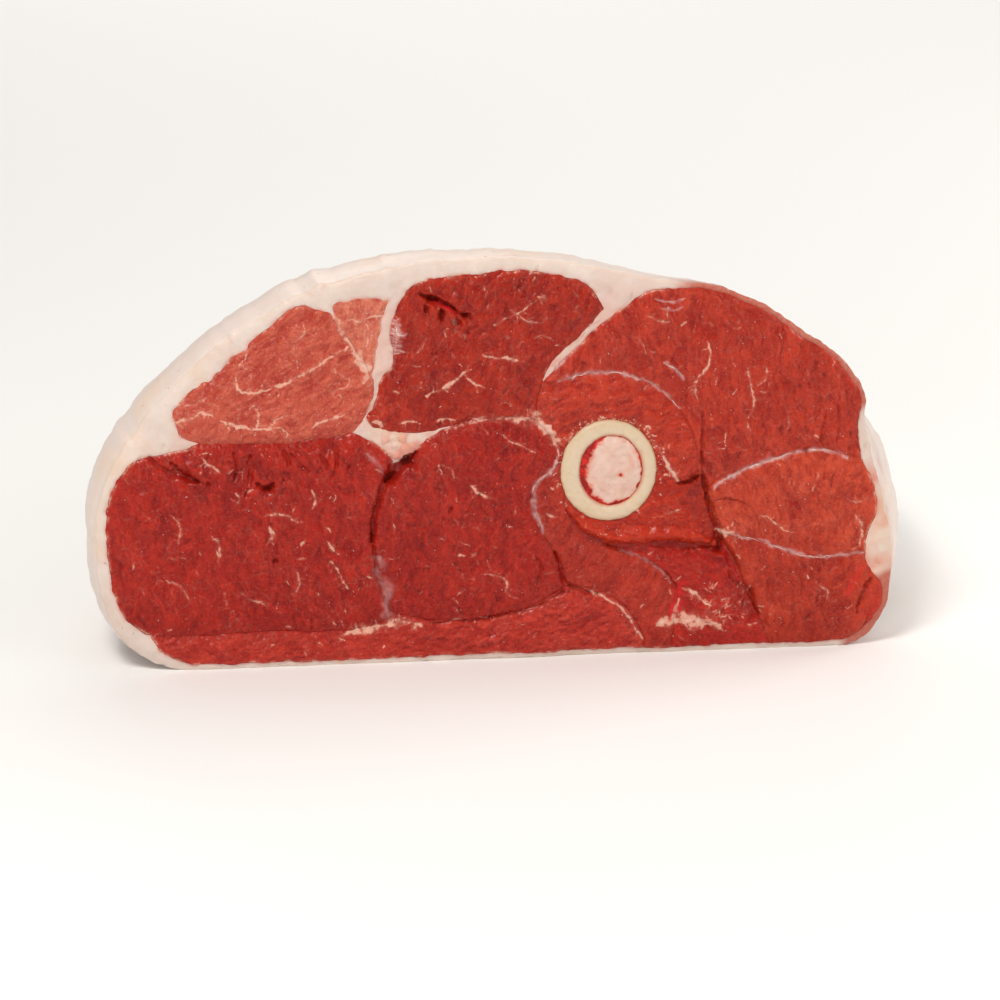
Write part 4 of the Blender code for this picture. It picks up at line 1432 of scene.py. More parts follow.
@dataclass(frozen=True)
class FatFinish(Finish):
    """Firm lamb fat: cream where it is cut, with a papery pinkish skin outside."""

    name: str = "lamb_fat_and_skin"
    slot: str = "lamb_fat"
    cream: Colour = (0.63, 0.50, 0.43)
    white: Colour = (0.72, 0.62, 0.57)
    pink: Colour = (0.62, 0.21, 0.155)
    skin: Colour = (0.79, 0.67, 0.61)
    skin_white: Colour = (0.80, 0.69, 0.64)
    skin_pink: Colour = (0.66, 0.38, 0.31)
    warm: Colour = (0.80, 0.56, 0.36)
    meat: Colour = (0.44, 0.075, 0.036)
    # Painted shade in crevices and the skin's wrinkles
    deep: Colour = (0.38, 0.11, 0.075)
    speck: Colour = (0.34, 0.16, 0.08)

    def make(self) -> bpy.types.Material:
        """Make the material.

        Returns:
            The material, which reads the piece's tone, pink, skin, rim, meaty and the shade painted in
            crevices.
        """
        shader = Shader(self.name)
        fine = shader.noise(0.9, 3.0)
        tone = shader.fit(shader.reading("tone"), 0.45, 0.5)
        speckle = shader.math("MULTIPLY", shader.math("SUBTRACT", fine, 0.5), 0.6)
        tone = shader.math("ADD", tone, speckle, clamp=True)
        cut = shader.mix(tone, self.cream, self.white)
        cut = shader.cover(cut, self.pink, 0.9, "pink")
        outside = shader.mix(tone, self.skin, self.skin_white)
        fibres = shader.rise(shader.noise(2.2, 4.0, (1.0, 3.5, 1.0), 0.7), 0.40, 0.75)
        blush = shader.math("MULTIPLY", shader.reading("pink"), shader.fit(fibres, 0.55, 0.35))
        outside = shader.mix(blush, outside, self.skin_pink)
        specks = shader.rise(shader.noise(1.6, 1.0), 0.735, 0.80)
        outside = shader.cover(outside, self.speck, 0.6, specks)
        yellow = shader.rise(shader.noise(21.0, 2.0), 0.50, 0.72)
        cut = shader.cover(cut, self.warm, 0.30, yellow)
        outside = shader.cover(outside, self.warm, 0.35, yellow)
        colour = shader.mix(shader.reading("skin"), cut, outside)
        colour = shader.cover(colour, self.warm, 0.10, "rim")
        film = shader.math("MULTIPLY", shader.reading("meaty"), shader.fit(fine, 0.5, 0.65))
        colour = shader.mix(film, colour, self.meat)
        # Painted shade in crevices and the skin's wrinkles
        colour = shader.cover(colour, self.deep, 0.75, "crevice")
        shader.link(colour, "Base Color")
        shader.link(shader.fit(shader.noise(2.0, 2.0), 0.25, 0.32), "Roughness")
        shader.bump(shader.noise(0.5, 3.0), 0.03)
        shader.bump(shader.noise(2.4, 2.0), 0.10)
        shader.set(Coat_Weight=0.10, Coat_Roughness=0.3, Subsurface_Weight=0.18, Subsurface_Scale=0.0018,
                   Subsurface_Radius=(1.0, 0.5, 0.35), Specular_IOR_Level=0.5)
        return shader.material


@dataclass(frozen=True)
class BoneFinish(Finish):
    """Freshly sawn bone, cream and warmer towards its outside."""

    name: str = "sawn_bone_ring"
    slot: str = "sawn_bone"
    middle: Colour = (0.62, 0.48, 0.33)
    light: Colour = (0.74, 0.63, 0.49)
    outer: Colour = (0.60, 0.42, 0.25)
    blood: Colour = (0.55, 0.10, 0.06)
    # Painted shade along the edges
    deep: Colour = (0.45, 0.20, 0.11)

    def make(self) -> bpy.types.Material:
        """Make the material.

        Returns:
            The material, which reads the piece's tone, outer, blood, pores and the shade painted along its
            edges.
        """
        shader = Shader(self.name)
        tone = shader.math("MULTIPLY", shader.noise(1.2, 3.0), 0.5)
        colour = shader.mix(tone, self.middle, self.light)
        stained = shader.rise(shader.noise(6.0, 3.0), 0.50, 0.72)
        colour = shader.cover(colour, self.outer, 0.40, stained)
        colour = shader.cover(colour, self.outer, 0.75, "outer")
        colour = shader.cover(colour, self.outer, 0.35, "pores")
        colour = shader.cover(colour, self.blood, 0.55, "blood")
        # Painted shade along the edges
        colour = shader.cover(colour, self.deep, 0.45, "crevice")
        shader.link(colour, "Base Color")
        shader.link(shader.fit(shader.noise(0.9, 2.0), 0.2, 0.38), "Roughness")
        shader.bump(shader.noise(0.35, 3.0, (4.0, 1.0, 1.0)), 0.02)
        shader.set(Subsurface_Weight=0.12, Subsurface_Scale=0.001, Subsurface_Radius=(1.0, 0.6, 0.35))
        return shader.material


@dataclass(frozen=True)
class MarrowFinish(Finish):
    """Soft pink marrow, stained with blood."""

    name: str = "bone_marrow_soft"
    slot: str = "bone_marrow"
    pale: Colour = (0.70, 0.50, 0.42)
    pink: Colour = (0.64, 0.37, 0.29)
    flush: Colour = (0.66, 0.18, 0.12)
    blood: Colour = (0.28, 0.003, 0.002)
    fresh: Colour = (0.58, 0.018, 0.010)
    # Painted shade along the edge
    deep: Colour = (0.50, 0.08, 0.05)

    def make(self) -> bpy.types.Material:
        """Make the material.

        Returns:
            The material, which reads the piece's tone, blood and the shade painted along its edge.
        """
        shader = Shader(self.name)
        patches = shader.math("MULTIPLY", shader.rise(shader.noise(3.0, 4.0, rough=0.65), 0.35, 0.70), 0.75)
        colour = shader.mix(patches, self.pale, self.pink)
        ragged = shader.math("MULTIPLY", shader.math("SUBTRACT", shader.noise(0.9, 3.0), 0.5), 0.9)
        flushed = shader.rise(shader.reading("blood"), 0.02, 0.55)
        colour = shader.cover(colour, self.flush, 0.75, flushed)
        stain = shader.rise(shader.math("ADD", shader.reading("blood"), ragged), 0.40, 0.72)
        bloody = shader.mix(shader.rise(shader.noise(1.3, 3.0), 0.40, 0.62), self.blood, self.fresh)
        colour = shader.mix(stain, colour, bloody)
        # Painted shade along the edge
        colour = shader.cover(colour, self.deep, 0.55, "crevice")
        shader.link(colour, "Base Color")
        shader.link(shader.fit(shader.noise(1.4, 2.0), 0.25, 0.25), "Roughness")
        shader.bump(shader.noise(0.7, 3.0), 0.08)
        shader.set(Coat_Weight=0.12, Coat_Roughness=0.2, Subsurface_Weight=0.06, Subsurface_Scale=0.0008,
                   Subsurface_Radius=(1.0, 0.4, 0.3), Specular_IOR_Level=0.2)
        return shader.material


@dataclass(frozen=True)
class StrandFinish(Finish):
    """Silverskin: a thin, wet, bluish white membrane."""

    name: str = "silverskin_strands"
    slot: str = "lamb_fat"
    pale: Colour = (0.74, 0.50, 0.46)
    thin: Colour = (0.58, 0.23, 0.19)

    def make(self) -> bpy.types.Material:
        """Make the material.

        Returns:
            The material.
        """
        shader = Shader(self.name)
        thick = shader.rise(shader.noise(1.8, 4.0), 0.42, 0.64)
        shader.link(shader.mix(thick, self.thin, self.pale), "Base Color")
        shader.bump(shader.noise(0.4, 3.0), 0.04)
        shader.set(Roughness=0.32, Coat_Weight=0.15, Coat_Roughness=0.15, Specular_IOR_Level=0.3,
                   Subsurface_Weight=0.2, Subsurface_Scale=0.0008, Subsurface_Radius=(1.0, 0.5, 0.4))
        return shader.material


SILVERSKIN = StrandFinish()


@dataclass(frozen=True)
class ThroughPiece:
    """A piece that runs from the cut face to the shank end, built inside its CAD node's outline.

    look is its finish. Sizes are in mm: end is how far back it reaches, depths where its hidden sides have
    their rings. Its sides get painted shade, less on the first ring, which is in sight.
    """

    node: str
    look: Finish | None = None
    outline_step: float = 0.42
    step: float = 0.33
    shank_step: float = 1.15
    end: float = 190.0
    depths: tuple[float, ...] = (3.0, 11.0, 22.0, *np.arange(34.0, 165.0, 13.0).tolist(), 176.0, 187.0)
    # Painted shade on the sides, where they meet their neighbours: less on the first ring, more behind it
    crevice_in_front: float = 0.35
    crevice_behind: float = 0.8

    def build(self) -> bpy.types.Object:
        """Build and dress the piece.

        Returns:
            The finished piece.
        """
        loops = OUTLINES.of(self.node, self.outline_step)
        solid = Solid()
        front, triangles = fill(loops, self.step)
        relief, read = self.cut(front, loops)
        start = solid.add(FORM.carry(front, -relief), read)
        solid.face(triangles + start)
        rings = sorted(boundary_loops(triangles), key=lambda ring: -float(np.ptp(front[ring, 0])))
        edges = [front[ring] for ring in rings]
        back, back_triangles = fill(edges, self.shank_step)
        relief, read = self.shank(back, loops)
        back_start = solid.add(FORM.carry(back, self.end + relief), read)
        solid.face(back_triangles[:, ::-1] + back_start)
        back_rings = matched(back, boundary_loops(back_triangles), edges)
        for edge, ring, back_ring in zip(edges, rings, back_rings):
            self.wall(solid, edge, np.array(ring) + start, np.array(back_ring) + back_start)
        return placed(solid.finished(self.node, self.look.make()), self.look.slot, self.node)

    def wall(self, solid: Solid, edge: Array, front: Array, back: Array) -> None:
        """Join one edge of the cut end to the same edge of the shank end.

        Args:
            solid: The mesh being built, which is changed.
            edge: The edge on the cut face, in mm.
            front: Its point numbers at the cut face.
            back: Its point numbers at the shank end.
        """
        last = front
        for depth in self.depths:
            # Painted shade on this ring of the side
            dark = self.crevice_in_front if depth == self.depths[0] else self.crevice_behind
            first = solid.add(FORM.carry(edge, depth), {"crevice": np.full(len(edge), dark)})
            here = np.arange(first, first + len(edge))
            solid.strip(last, here)
            last = here
        solid.strip(last, back)

    def cut(self, uv: Array, loops: list[Array]) -> Ending:
        """Shape and read the end in the cut face.

        Args:
            uv: Its points on the cut face, in mm.
            loops: Its outline there.

        Returns:
            Its relief outwards in mm, and its readings.
        """
        raise NotImplementedError

    def shank(self, uv: Array, loops: list[Array]) -> Ending:
        """Shape and read the end at the sawn shank, as cut does for the cut face."""
        return self.cut(uv, loops)


@dataclass(frozen=True)
class Muscle(ThroughPiece):
    """One muscle, cut across: its finish, and the sizes of its swelling and bundles, in mm.

    lift is how far it stands out of the cut face, or lies back in it when that is below nought.
    """

    lift: float = 0.0
    rise: float = 1.3
    soft: float = 3.0
    sink: float = 0.12
    bundle: float = 1.35
    stretch: float = 1.7
    lean: float = 75.0
    rough: float = 0.26

    def cut(self, uv: Array, loops: list[Array]) -> Ending:
        """Shape and read the muscle's end in the cut face.

        Args:
            uv: Its points on the cut face, in mm.
            loops: Its outline there.

        Returns:
            Its relief outwards in mm, and its readings.
        """
        read = SURFACE.measure(uv)
        edge = ring_distance(uv, loops)
        relief = read.pop("relief") + self.rise * (1 - np.exp(-edge / self.soft)) - self.sink
        relief += self.lift * ramp(FORM.base + uv[:, 1], 1.5, 7.0) + self._grain(uv, edge, read)
        near = np.nonzero(edge < 1.6)[0]
        fat = np.full(len(uv), FAR)
        fat[near] = ring_distance(uv[near], OUTLINES.of("fat_cover", 0.5)[1:])
        bare = ramp(uv[:, 0], 14.0, 22.0) * ramp(np.abs(uv[:, 1] + 8.0), 18.0, 22.0)
        smear = bell(fat, 0.40) * ramp(GRAIN.at(uv, 2.2, 3), -0.5, 0.6)
        read["marbling"] = np.maximum(read["marbling"], 0.60 * smear * (1 - bare))
        # Painted shade along the seams with other muscles, fading out next to fat
        seam = 0.30 * bell(edge, 0.28) + 0.16 * bell(edge, 1.2)
        read["crevice"] = np.maximum(read["crevice"], seam * ramp(fat, 0.5, 1.4))
        return relief, read

    def shank(self, uv: Array, loops: list[Array]) -> Ending:
        """Shape and read the muscle's end at the sawn shank, which is flatter.

        Args:
            uv: Its points, where they would be on the cut face, in mm.
            loops: Its outline there.

        Returns:
            Its relief outwards in mm, and its readings.
        """
        read = SURFACE.measure(uv)
        edge = ring_distance(uv, loops)
        relief = 0.35 * read.pop("relief") + 0.5 * self.rise * (1 - np.exp(-edge / 3.0)) - 0.2
        relief += self._grain(uv * 0.42, edge, read)
        # Painted shade along the edges of the shank end
        read["crevice"] = np.maximum(read["crevice"], 0.75 * bell(edge, 0.9))
        return relief, read

    def _grain(self, uv: Array, edge: Array, read: dict[str, Array]) -> Array:
        """Draw the ends of the muscle's bundles.

        Args:
            uv: Points of the muscle's end, in mm.
            edge: How far each is from the muscle's edge, in mm.
            read: Their readings. The tone and the marbling are changed.

        Returns:
            The relief of the bundles, in mm.
        """
        turn = math.radians(self.lean)
        x, y = (uv + 1.2 * GRAIN.pair(uv, 6.0, 2, (70.0, 0.0))).T
        along = (x * math.cos(turn) + y * math.sin(turn)) / (self.bundle * self.stretch)
        across = (y * math.cos(turn) - x * math.sin(turn)) / self.bundle
        middle, wall, own = GRAIN.cells(along, across)
        small_middle, _, small_own = GRAIN.cells(along * 2.2 + 7.0, across * 2.2)
        fine = GRAIN.smooth(along * 3.3, across * 3.3, 1.0, 2)
        streak = GRAIN.smooth(along * self.stretch * 0.55, across * 1.9, 1.0, 3)
        fade = ramp(edge, 0.0, 1.0)
        strength = np.clip(0.8 + 0.8 * GRAIN.at(uv, 8.0, 2), 0.15, 1.5)
        small = 0.5 * (0.5 - small_middle + 0.6 * small_own)
        bumps = strength * (0.55 - middle + 0.55 * own) + small + 0.35 * fine
        rolls = GRAIN.smooth(along * self.bundle, across * self.bundle * 1.8, 4.5, 2)
        # The tone takes the bundles' own tones, and follows their relief too: painted highlight on the crowns
        # of the bundles, painted shade in the hollows between them
        tone = (0.50 * read["tone"] + 0.22 * own + 0.18 * small_own + 0.36 * bumps + 0.24 * rolls
                + 0.36 * streak)
        # A painted highlight just inside the muscle's rounded edge, and the painted highlight of the lips
        edge_highlight = bell(edge - 1.1, 0.7) * ramp(GRAIN.at(uv, 11.0, 2), -0.1, 0.6)
        read["tone"] = np.clip(tone + 0.35 * edge_highlight + 0.8 * read.pop("lit"), -1.4, 1.4)
        thread = (1 - ramp(wall, 0.02, 0.20)) * ramp(GRAIN.at(uv, 4.0, 2), 0.1, 0.7)
        read["marbling"] = np.maximum(read["marbling"], 0.16 * thread * fade)
        return fade * (self.rough * bumps + 0.30 * rolls + 0.12 * streak)


def matched(points: Array, rings: list[list[int]], loops: list[Array]) -> list[list[int]]:
    """Line up the rings of a filled outline with the loops it was made from.

    Args:
        points: The filled outline's points.
        rings: Its rings, as point numbers.
        loops: The loops, each with as many points as one of the rings.

    Returns:
        For each loop its ring, starting at the loop's first point.
    """
    order = []
    for loop in loops:
        ring = min((r for r in rings if len(r) == len(loop)),
                   key=lambda r: float(np.min(np.linalg.norm(points[r] - loop[0], axis=1))))
        first = int(np.argmin(np.linalg.norm(points[ring] - loop[0], axis=1)))
        order.append(ring[first:] + ring[:first])
    return order


@dataclass(frozen=True)
class FatCover(ThroughPiece):
    """The fat between and round the muscles, with the papery skin over its outside."""

    node: str = "fat_cover"
    look: Finish = FatFinish()
    outline_step: float = 0.5
    step: float = 0.42
    shank_step: float = 1.3
    rise: float = 0.30
    soft: float = 1.5
    skin_step: float = 1.12
    first_rows: tuple[float, ...] = (0.55, 1.25, 2.1)
    even_from: float = 3.1

    def wall(self, solid: Solid, edge: Array, front: Array, back: Array) -> None:
        """Join an edge to the shank end, the outer one with the skin.

        Args:
            solid: The mesh being built, which is changed.
            edge: The edge on the cut face, in mm.
            front: Its point numbers at the cut face.
            back: Its point numbers at the shank end.
        """
        if np.ptp(edge[:, 0]) > FORM.face_right - FORM.face_left - 1.0:
            self._skin(solid, edge, front, back)
        else:
            super().wall(solid, edge, front, back)

    def cut(self, uv: Array, loops: list[Array]) -> Ending:
        """Shape and read the fat in the cut face.

        Args:
            uv: Its points on the cut face, in mm.
            loops: Its outline there.

        Returns:
            Its relief outwards in mm, and its readings.
        """
        read = SURFACE.measure(uv)
        rim = ring_distance(uv, loops[:1])
        meat = ring_distance(uv, loops[1:]) if len(loops) > 1 else np.full(len(uv), FAR)
        edge = np.minimum(rim, meat)
        soft = self._soft(uv)
        middle, wall, own = GRAIN.cells(uv[:, 0] / 2.3, uv[:, 1] / 1.9)
        globes = soft * ramp(meat, 0.0, 0.8) * (0.75 * (0.5 - middle) + 0.35 * own)
        relief = (read["relief"] + self.rise * (1 - np.exp(-edge / self.soft)) - 0.12 + globes
                  + 0.20 * GRAIN.at(uv, 3.0, 3) * ramp(edge, 0.2, 1.0) - np.exp(-rim / 1.9))
        bled = bell(meat, 0.8) * ramp(GRAIN.at(uv, 1.6, 2), -0.7, 0.4)
        # Between the lumps the fat is painted with shade, and the lumps are lighter where they stand out, a
        # painted highlight through the tone
        between = soft * (1 - ramp(wall, 0.02, 0.28))
        pink = np.maximum(self._pink(uv, rim), 0.75 * bled) + 0.75 * soft * (0.7 + own)
        return relief, {
            "tone": read["tone"] + 0.8 * globes,
            "crevice": np.maximum(read["crevice"] * 0.55, 0.30 * between),
            "skin": np.zeros(len(uv)),
            "pink": np.clip(pink, 0.0, 1.0),
            "rim": bell(rim, 0.8),
            "meaty": self._meaty(uv, rim + meat),
        }

    def _soft(self, uv: Array) -> Array:
        """Tell where the fat is soft, pink and lumpy, between the muscles.

        Args:
            uv: Points of the cut face, in mm.

        Returns:
            How much it is so at each, from 0 to 1.
        """
        pocket, seam = blob(uv, (-55.5, 7.0), (7.5, 5.0)), blob(uv, (-57.0, 22.0), (5.0, 14.0))
        tip, small = blob(uv, (-14.5, 27.0), (5.5, 8.0)), blob(uv, (-17.0, 13.0), (5.0, 5.0))
        return np.clip(pocket + 0.25 * seam + 0.35 * tip + 0.35 * small, 0.0, 1.0)

    def _meaty(self, uv: Array, thick: Array) -> Array:
        """Tell where the fat is only a film over the meat.

        Args:
            uv: Points of the cut face, in mm.
            thick: The fat's thickness there, in mm.

        Returns:
            How much it is so at each, from 0 to 1.
        """
        u, v = uv[:, 0], uv[:, 1]
        upper = ramp(u, 15.0, 24.0) * ramp(v, 13.0, 17.0) * (1 - ramp(thick, 2.4, 4.2))
        lobe = ramp(u, 62.0, 66.0) * ramp(-v, 28.0, 32.0) * (1 - ramp(thick, 3.6, 5.4))
        return np.maximum(upper, lobe)

    def shank(self, uv: Array, loops: list[Array]) -> Ending:
        """Shape and read the fat at the sawn shank end.

        Args:
            uv: Its points, where they would be on the cut face, in mm.
            loops: Its outline there.

        Returns:
            Its relief outwards in mm, and its readings.
        """
        read = SURFACE.measure(uv)
        edge, rim = ring_distance(uv, loops), ring_distance(uv, loops[:1])
        relief = 0.3 * read["relief"] + 0.4 * (1 - np.exp(-edge / 3.0)) - 0.2 - 0.6 * np.exp(-rim / 2.0)
        # Painted shade along the fat's inner edges, where it meets the meat
        return relief, {
            "tone": read["tone"],
            "crevice": 0.3 * np.exp(-(edge**2)) * ramp(rim, 0.8, 3.0),
            "skin": np.zeros(len(uv)),
            "pink": self._pink(uv, rim),
            "rim": bell(rim, 2.0),
            "meaty": np.zeros(len(uv)),
        }

    def _pink(self, uv: Array, rim: Array) -> Array:
        """Tell where the fat is thin or streaked with meat.

        Args:
            uv: Points of the cut face, in mm.
            rim: How far each is from the outer edge, in mm.

        Returns:
            How much it is so at each, from 0 to 1.
        """
        u, v = uv[:, 0], uv[:, 1]
        seam = ramp(rim, 7.0, 11.0) * ramp(v, -40.0, -34.0)
        right = ramp(u, 64.0, 68.0) * ramp(-v, -6.0, 6.0)
        patch = 0.5 + 0.5 * TONES.smooth(u, v, 4.0, 3)
        wedge = ramp(u, -8.0, 0.0) * ramp(-u, -18.0, -10.0) * ramp(v, 38.0, 44.0)
        return np.clip(0.32 * seam + right * patch + 0.16 * wedge + 0.25 * (patch - 0.5), 0.0, 1.0)

    def _skin(self, solid: Solid, ring: Array, front: Array, back: Array) -> None:
        """Cover the outside from the cut face to the shank.

        Args:
            solid: The mesh being built, which is changed.
            ring: The outer edge of the cut face, anticlockwise, in mm.
            front: The ring's point numbers at the cut face.
            back: The ring's point numbers at the shank end.
        """
        lowest = int(np.argmin(np.abs(ring[:, 0] + 40.0) + 10.0 * (ring[:, 1] + 52.0)))
        ring, front, back = (np.roll(part, -lowest, axis=0) for part in (ring, front, back))
        closed = np.vstack([ring, ring[:1]])
        run = run_of(closed)
        length, end = run[-1], FORM.shank_depth
        width = FORM.face_right - FORM.face_left

        def flat(along: Array, depth: Array) -> Array:
            """Lay the skin out flat, about as wide as it is round the leg."""
            scale = (FORM.at("right", depth) - FORM.at("left", depth)) / width
            return np.stack([(along - length / 2) * scale, depth], axis=1)

        even = np.arange(self.even_from, end - 0.5, self.skin_step * 0.87)
        rows = np.concatenate([self.first_rows, even])
        edge = flat(np.full(len(rows), length), rows)
        sides = np.concatenate([run, np.full(len(rows), length), run[::-1], np.zeros(len(rows))])
        depths = np.concatenate([np.zeros(len(run)), rows, np.full(len(run), end), rows[::-1]])
        inner = []
        for n, depth in enumerate(rows):
            scale = abs(edge[n, 0]) / (length / 2)
            gap = min(self.skin_step, 0.5 + 0.2 * min(depth, end - depth)) / scale
            along = np.arange(gap * (0.75 + 0.5 * (n % 2)), length - 0.6 * gap, gap)
            v = np.interp(along, run, closed[:, 1])
            under = (v < FORM.base + 0.6) & (depth > 4.0) & (depth < end - 4.0)
            along = along[~under | ((np.arange(len(along)) % 3 == 0) & (n % 3 == 0))]
            inner.append(np.stack([along, np.full(len(along), depth)], axis=1))
        inner = np.vstack(inner)
        border = flat(sides, depths)
        places, triangles = triangulate([border], flat(inner[:, 0], inner[:, 1]))
        along = np.concatenate([sides, inner[:, 0]])
        depth = np.concatenate([depths, inner[:, 1]])
        if len(places) != len(along):
            raise ValueError("the skin's flat layout crosses itself")
        count, row_count = len(run), len(rows)
        sunk = np.interp(along, run, -self.cut(closed, [ring])[0])
        start = solid.add(*self._skin_places(closed, run, along, depth, sunk))
        number = np.arange(start, start + len(along))
        number[:count] = np.append(front, front[0])
        number[count + row_count:2 * count + row_count] = np.append(back, back[0])[::-1]
        number[count:count + row_count] = number[2 * count + row_count:2 * count + 2 * row_count][::-1]
        solid.face(number[triangles][:, ::-1])

    def _skin_places(self, closed: Array, run: Array, along: Array, depth: Array,
                     sunk: Array) -> Ending:
        """Shape and read the skin.

        Args:
            closed: The outer edge of the cut face, closed, in mm.
            run: How far round it each of its points is.
            along: How far round it each point of the skin is.
            depth: How far down the leg each is.
            sunk: How far the cut face's edge lies back at each.

        Returns:
            The points' places in metres, and their readings.
        """
        end, depth = FORM.shank_depth, depth + sunk * (1 - ramp(depth, 0.0, 4.5))

        def base(s: Array, d: Array) -> Array:
            """Carry points of the outer edge down the leg, in mm."""
            uv = np.stack([np.interp(s, run, closed[:, n], period=run[-1]) for n in (0, 1)], axis=1)
            return FORM.carry(uv, d) / MM

        base_uv = np.stack([np.interp(along, run, closed[:, 0]), np.interp(along, run, closed[:, 1])], axis=1)
        here = base(along, depth)
        ahead = base(along + 1.5, depth) - base(along - 1.5, depth)
        down = base(along, np.clip(depth + 1.0, 0, end)) - base(along, np.clip(depth - 1.0, 0, end))
        outwards = np.cross(down, ahead)
        outwards /= np.linalg.norm(outwards, axis=1)[:, None]
        x, y, z = here.T
        bottom = ramp(z, 1.0, 7.0)
        free = ramp(depth, 0.0, 5.0) * ramp(end - depth, 0.0, 5.0)
        swell = 0.25 + 0.30 * SHAPER.smooth(x, y, 38.0, 1, z) + 0.12 * SHAPER.smooth(x + 60, y, 9.0, 2, z)
        wrinkle = SHAPER.smooth(x * 1.2, y * 0.3, 3.0, 2, z * 1.2)
        crinkle = -0.22 * np.abs(wrinkle) * ramp(SHAPER.smooth(x, y + 30, 22.0, 1, z), -0.3, 0.5)
        side = ramp(x - ORIGIN[0], 62.0, 72.0) * ramp(z, 8.0, 20.0) * ramp(80.0 - z, 0.0, 14.0)
        near = 1 - ramp(depth, 22.0, 48.0)
        creases = -side * near * (1 - np.abs(SHAPER.smooth(x, y, 7.0, 1, z * 0.22))) ** 5
        high = np.exp(-(((z - ORIGIN[2] - FORM.base - 2.0) / 20.0) ** 2))
        bulge = side * bell(depth - 16.0, 13.0) * (1.2 + 2.2 * high)
        moved = here + outwards * ((swell + crinkle + creases + bulge) * free * bottom)[:, None]
        moved[:, 2] = np.maximum(moved[:, 2], ORIGIN[2] + 0.02)
        stain = np.exp(-(((base_uv[:, 0] + 26.0) / 12.0) ** 2 + ((depth - 5.0) / 6.0) ** 2)) * (z > 60.0)
        thin = ramp(SHAPER.smooth(x + 20, y, 26.0, 3, z), 0.15, 0.75)
        thin = np.maximum(thin, 1.3 * stain * ramp(SHAPER.smooth(x, y * 2.0, 5.0, 3, z), -0.2, 0.5))
        # The creases and wrinkles of the skin are painted with shade
        read = {
            "skin": ramp(depth, 0.3, 1.8) * ramp(end - depth, 0.3, 1.8),
            "pink": np.clip(0.20 + 0.65 * thin, 0.0, 1.0) * free,
            "crevice": np.clip(-0.22 * creases + 0.5 * np.clip(-crinkle - 0.1, 0, 1), 0.0, 1.0) * free,
            "tone": 0.6 * TONES.smooth(x, y, 18.0, 2, z) + 0.4 * TONES.smooth(x, y, 4.0, 2, z),
            "rim": bell(depth, 0.9),
            "meaty": self._meaty(base_uv, np.full(len(along), 2.0)) * bell(depth, 9.0),
        }
        return moved * MM, read


@dataclass(frozen=True)
class ThighBone(ThroughPiece):
    """The sawn thigh bone's wall, a ring of hard bone that stands a little out of the meat."""

    node: str = "femur"
    look: Finish = BoneFinish()
    outline_step: float = 0.34
    step: float = 0.34
    shank_step: float = 0.7
    end: float = 193.0
    stands_out: float = 0.75
    rounding: float = 0.45

    def cut(self, uv: Array, loops: list[Array]) -> Ending:
        """Shape and read the sawn end in the cut face.

        Args:
            uv: Its points on the cut face, in mm.
            loops: Its outline there, the outer edge and then the inner.

        Returns:
            Its relief outwards in mm, and its readings.
        """
        outer, inner = ring_distance(uv, loops[:1]), ring_distance(uv, loops[1:])
        edge = np.minimum(outer, inner)
        read = SURFACE.measure(uv)
        saw = SHAPER.smooth(uv[:, 0] * 0.12, uv[:, 1] + 0.3 * uv[:, 0], 0.55)
        pores = ramp(SHAPER.at(uv, 0.8, 2), 0.35, 0.8)
        relief = (self.stands_out * (1 - np.exp(-edge / self.rounding)) + 0.4 * read["relief"]
                  + 0.035 * saw - 0.10 * pores * ramp(edge, 0.2, 0.8))
        angle = np.arctan2(uv[:, 1], uv[:, 0])
        uneven = 0.5 + 0.5 * SHAPER.smooth(3.2 * np.cos(angle), 3.2 * np.sin(angle), 1.0, 2)
        # Painted shade along both edges, where the bone meets the meat and the marrow
        return relief, {
            "tone": read["tone"],
            "outer": np.exp(-outer / 1.1),
            "blood": np.exp(-((inner / (0.25 + 0.55 * uneven)) ** 2)),
            "crevice": bell(edge, 0.22),
            "pores": pores,
        }


@dataclass(frozen=True)
class Marrow(ThroughPiece):
    """The soft marrow in the bone, bloody along one side."""

    node: str = "marrow"
    look: Finish = MarrowFinish()
    outline_step: float = 0.34
    step: float = 0.32
    shank_step: float = 0.7
    end: float = 192.0
    sunk: float = 0.10

    def cut(self, uv: Array, loops: list[Array]) -> Ending:
        """Shape and read the marrow's end in the cut face.

        Args:
            uv: Its points on the cut face, in mm.
            loops: Its outline there.

        Returns:
            Its relief outwards in mm, and its readings.
        """
        edge = ring_distance(uv, loops)
        read = SURFACE.measure(uv)
        lumps = SHAPER.at(uv, 2.4, 3)
        u, v = uv[:, 0], uv[:, 1]
        left = ramp(-u, -1.0, 6.0) * bell(v - 2.0, 8.0)
        under = ramp(-v, 2.0, 7.0) * bell(u - 1.0, 6.0)
        wide = 0.62 + 2.3 * left + 0.4 * under + 0.7 * SHAPER.smooth(u, v, 2.2, 2)
        blood = np.exp(-((edge / np.maximum(wide, 0.4)) ** 2.5))
        spot = blob(uv, (3.2, -1.0), (0.8, 0.7))
        streak = ramp(SHAPER.smooth(u * 0.8, v, 1.6, 2), 0.25, 0.9) * np.exp(-edge / 4.0)
        relief = (0.4 * read["relief"] + 0.30 * lumps * ramp(edge, 0.0, 1.0) - self.sunk
                  + 0.7 * (1 - np.exp(-edge / 2.5)))
        # Painted shade along the marrow's edge, against the bone
        return relief - 0.12 * blood, {
            "tone": read["tone"],
            "blood": np.clip(np.maximum(blood, 0.8 * spot) + 0.45 * streak, 0.0, 1.0),
            "crevice": 0.5 * bell(edge, 0.3),
        }


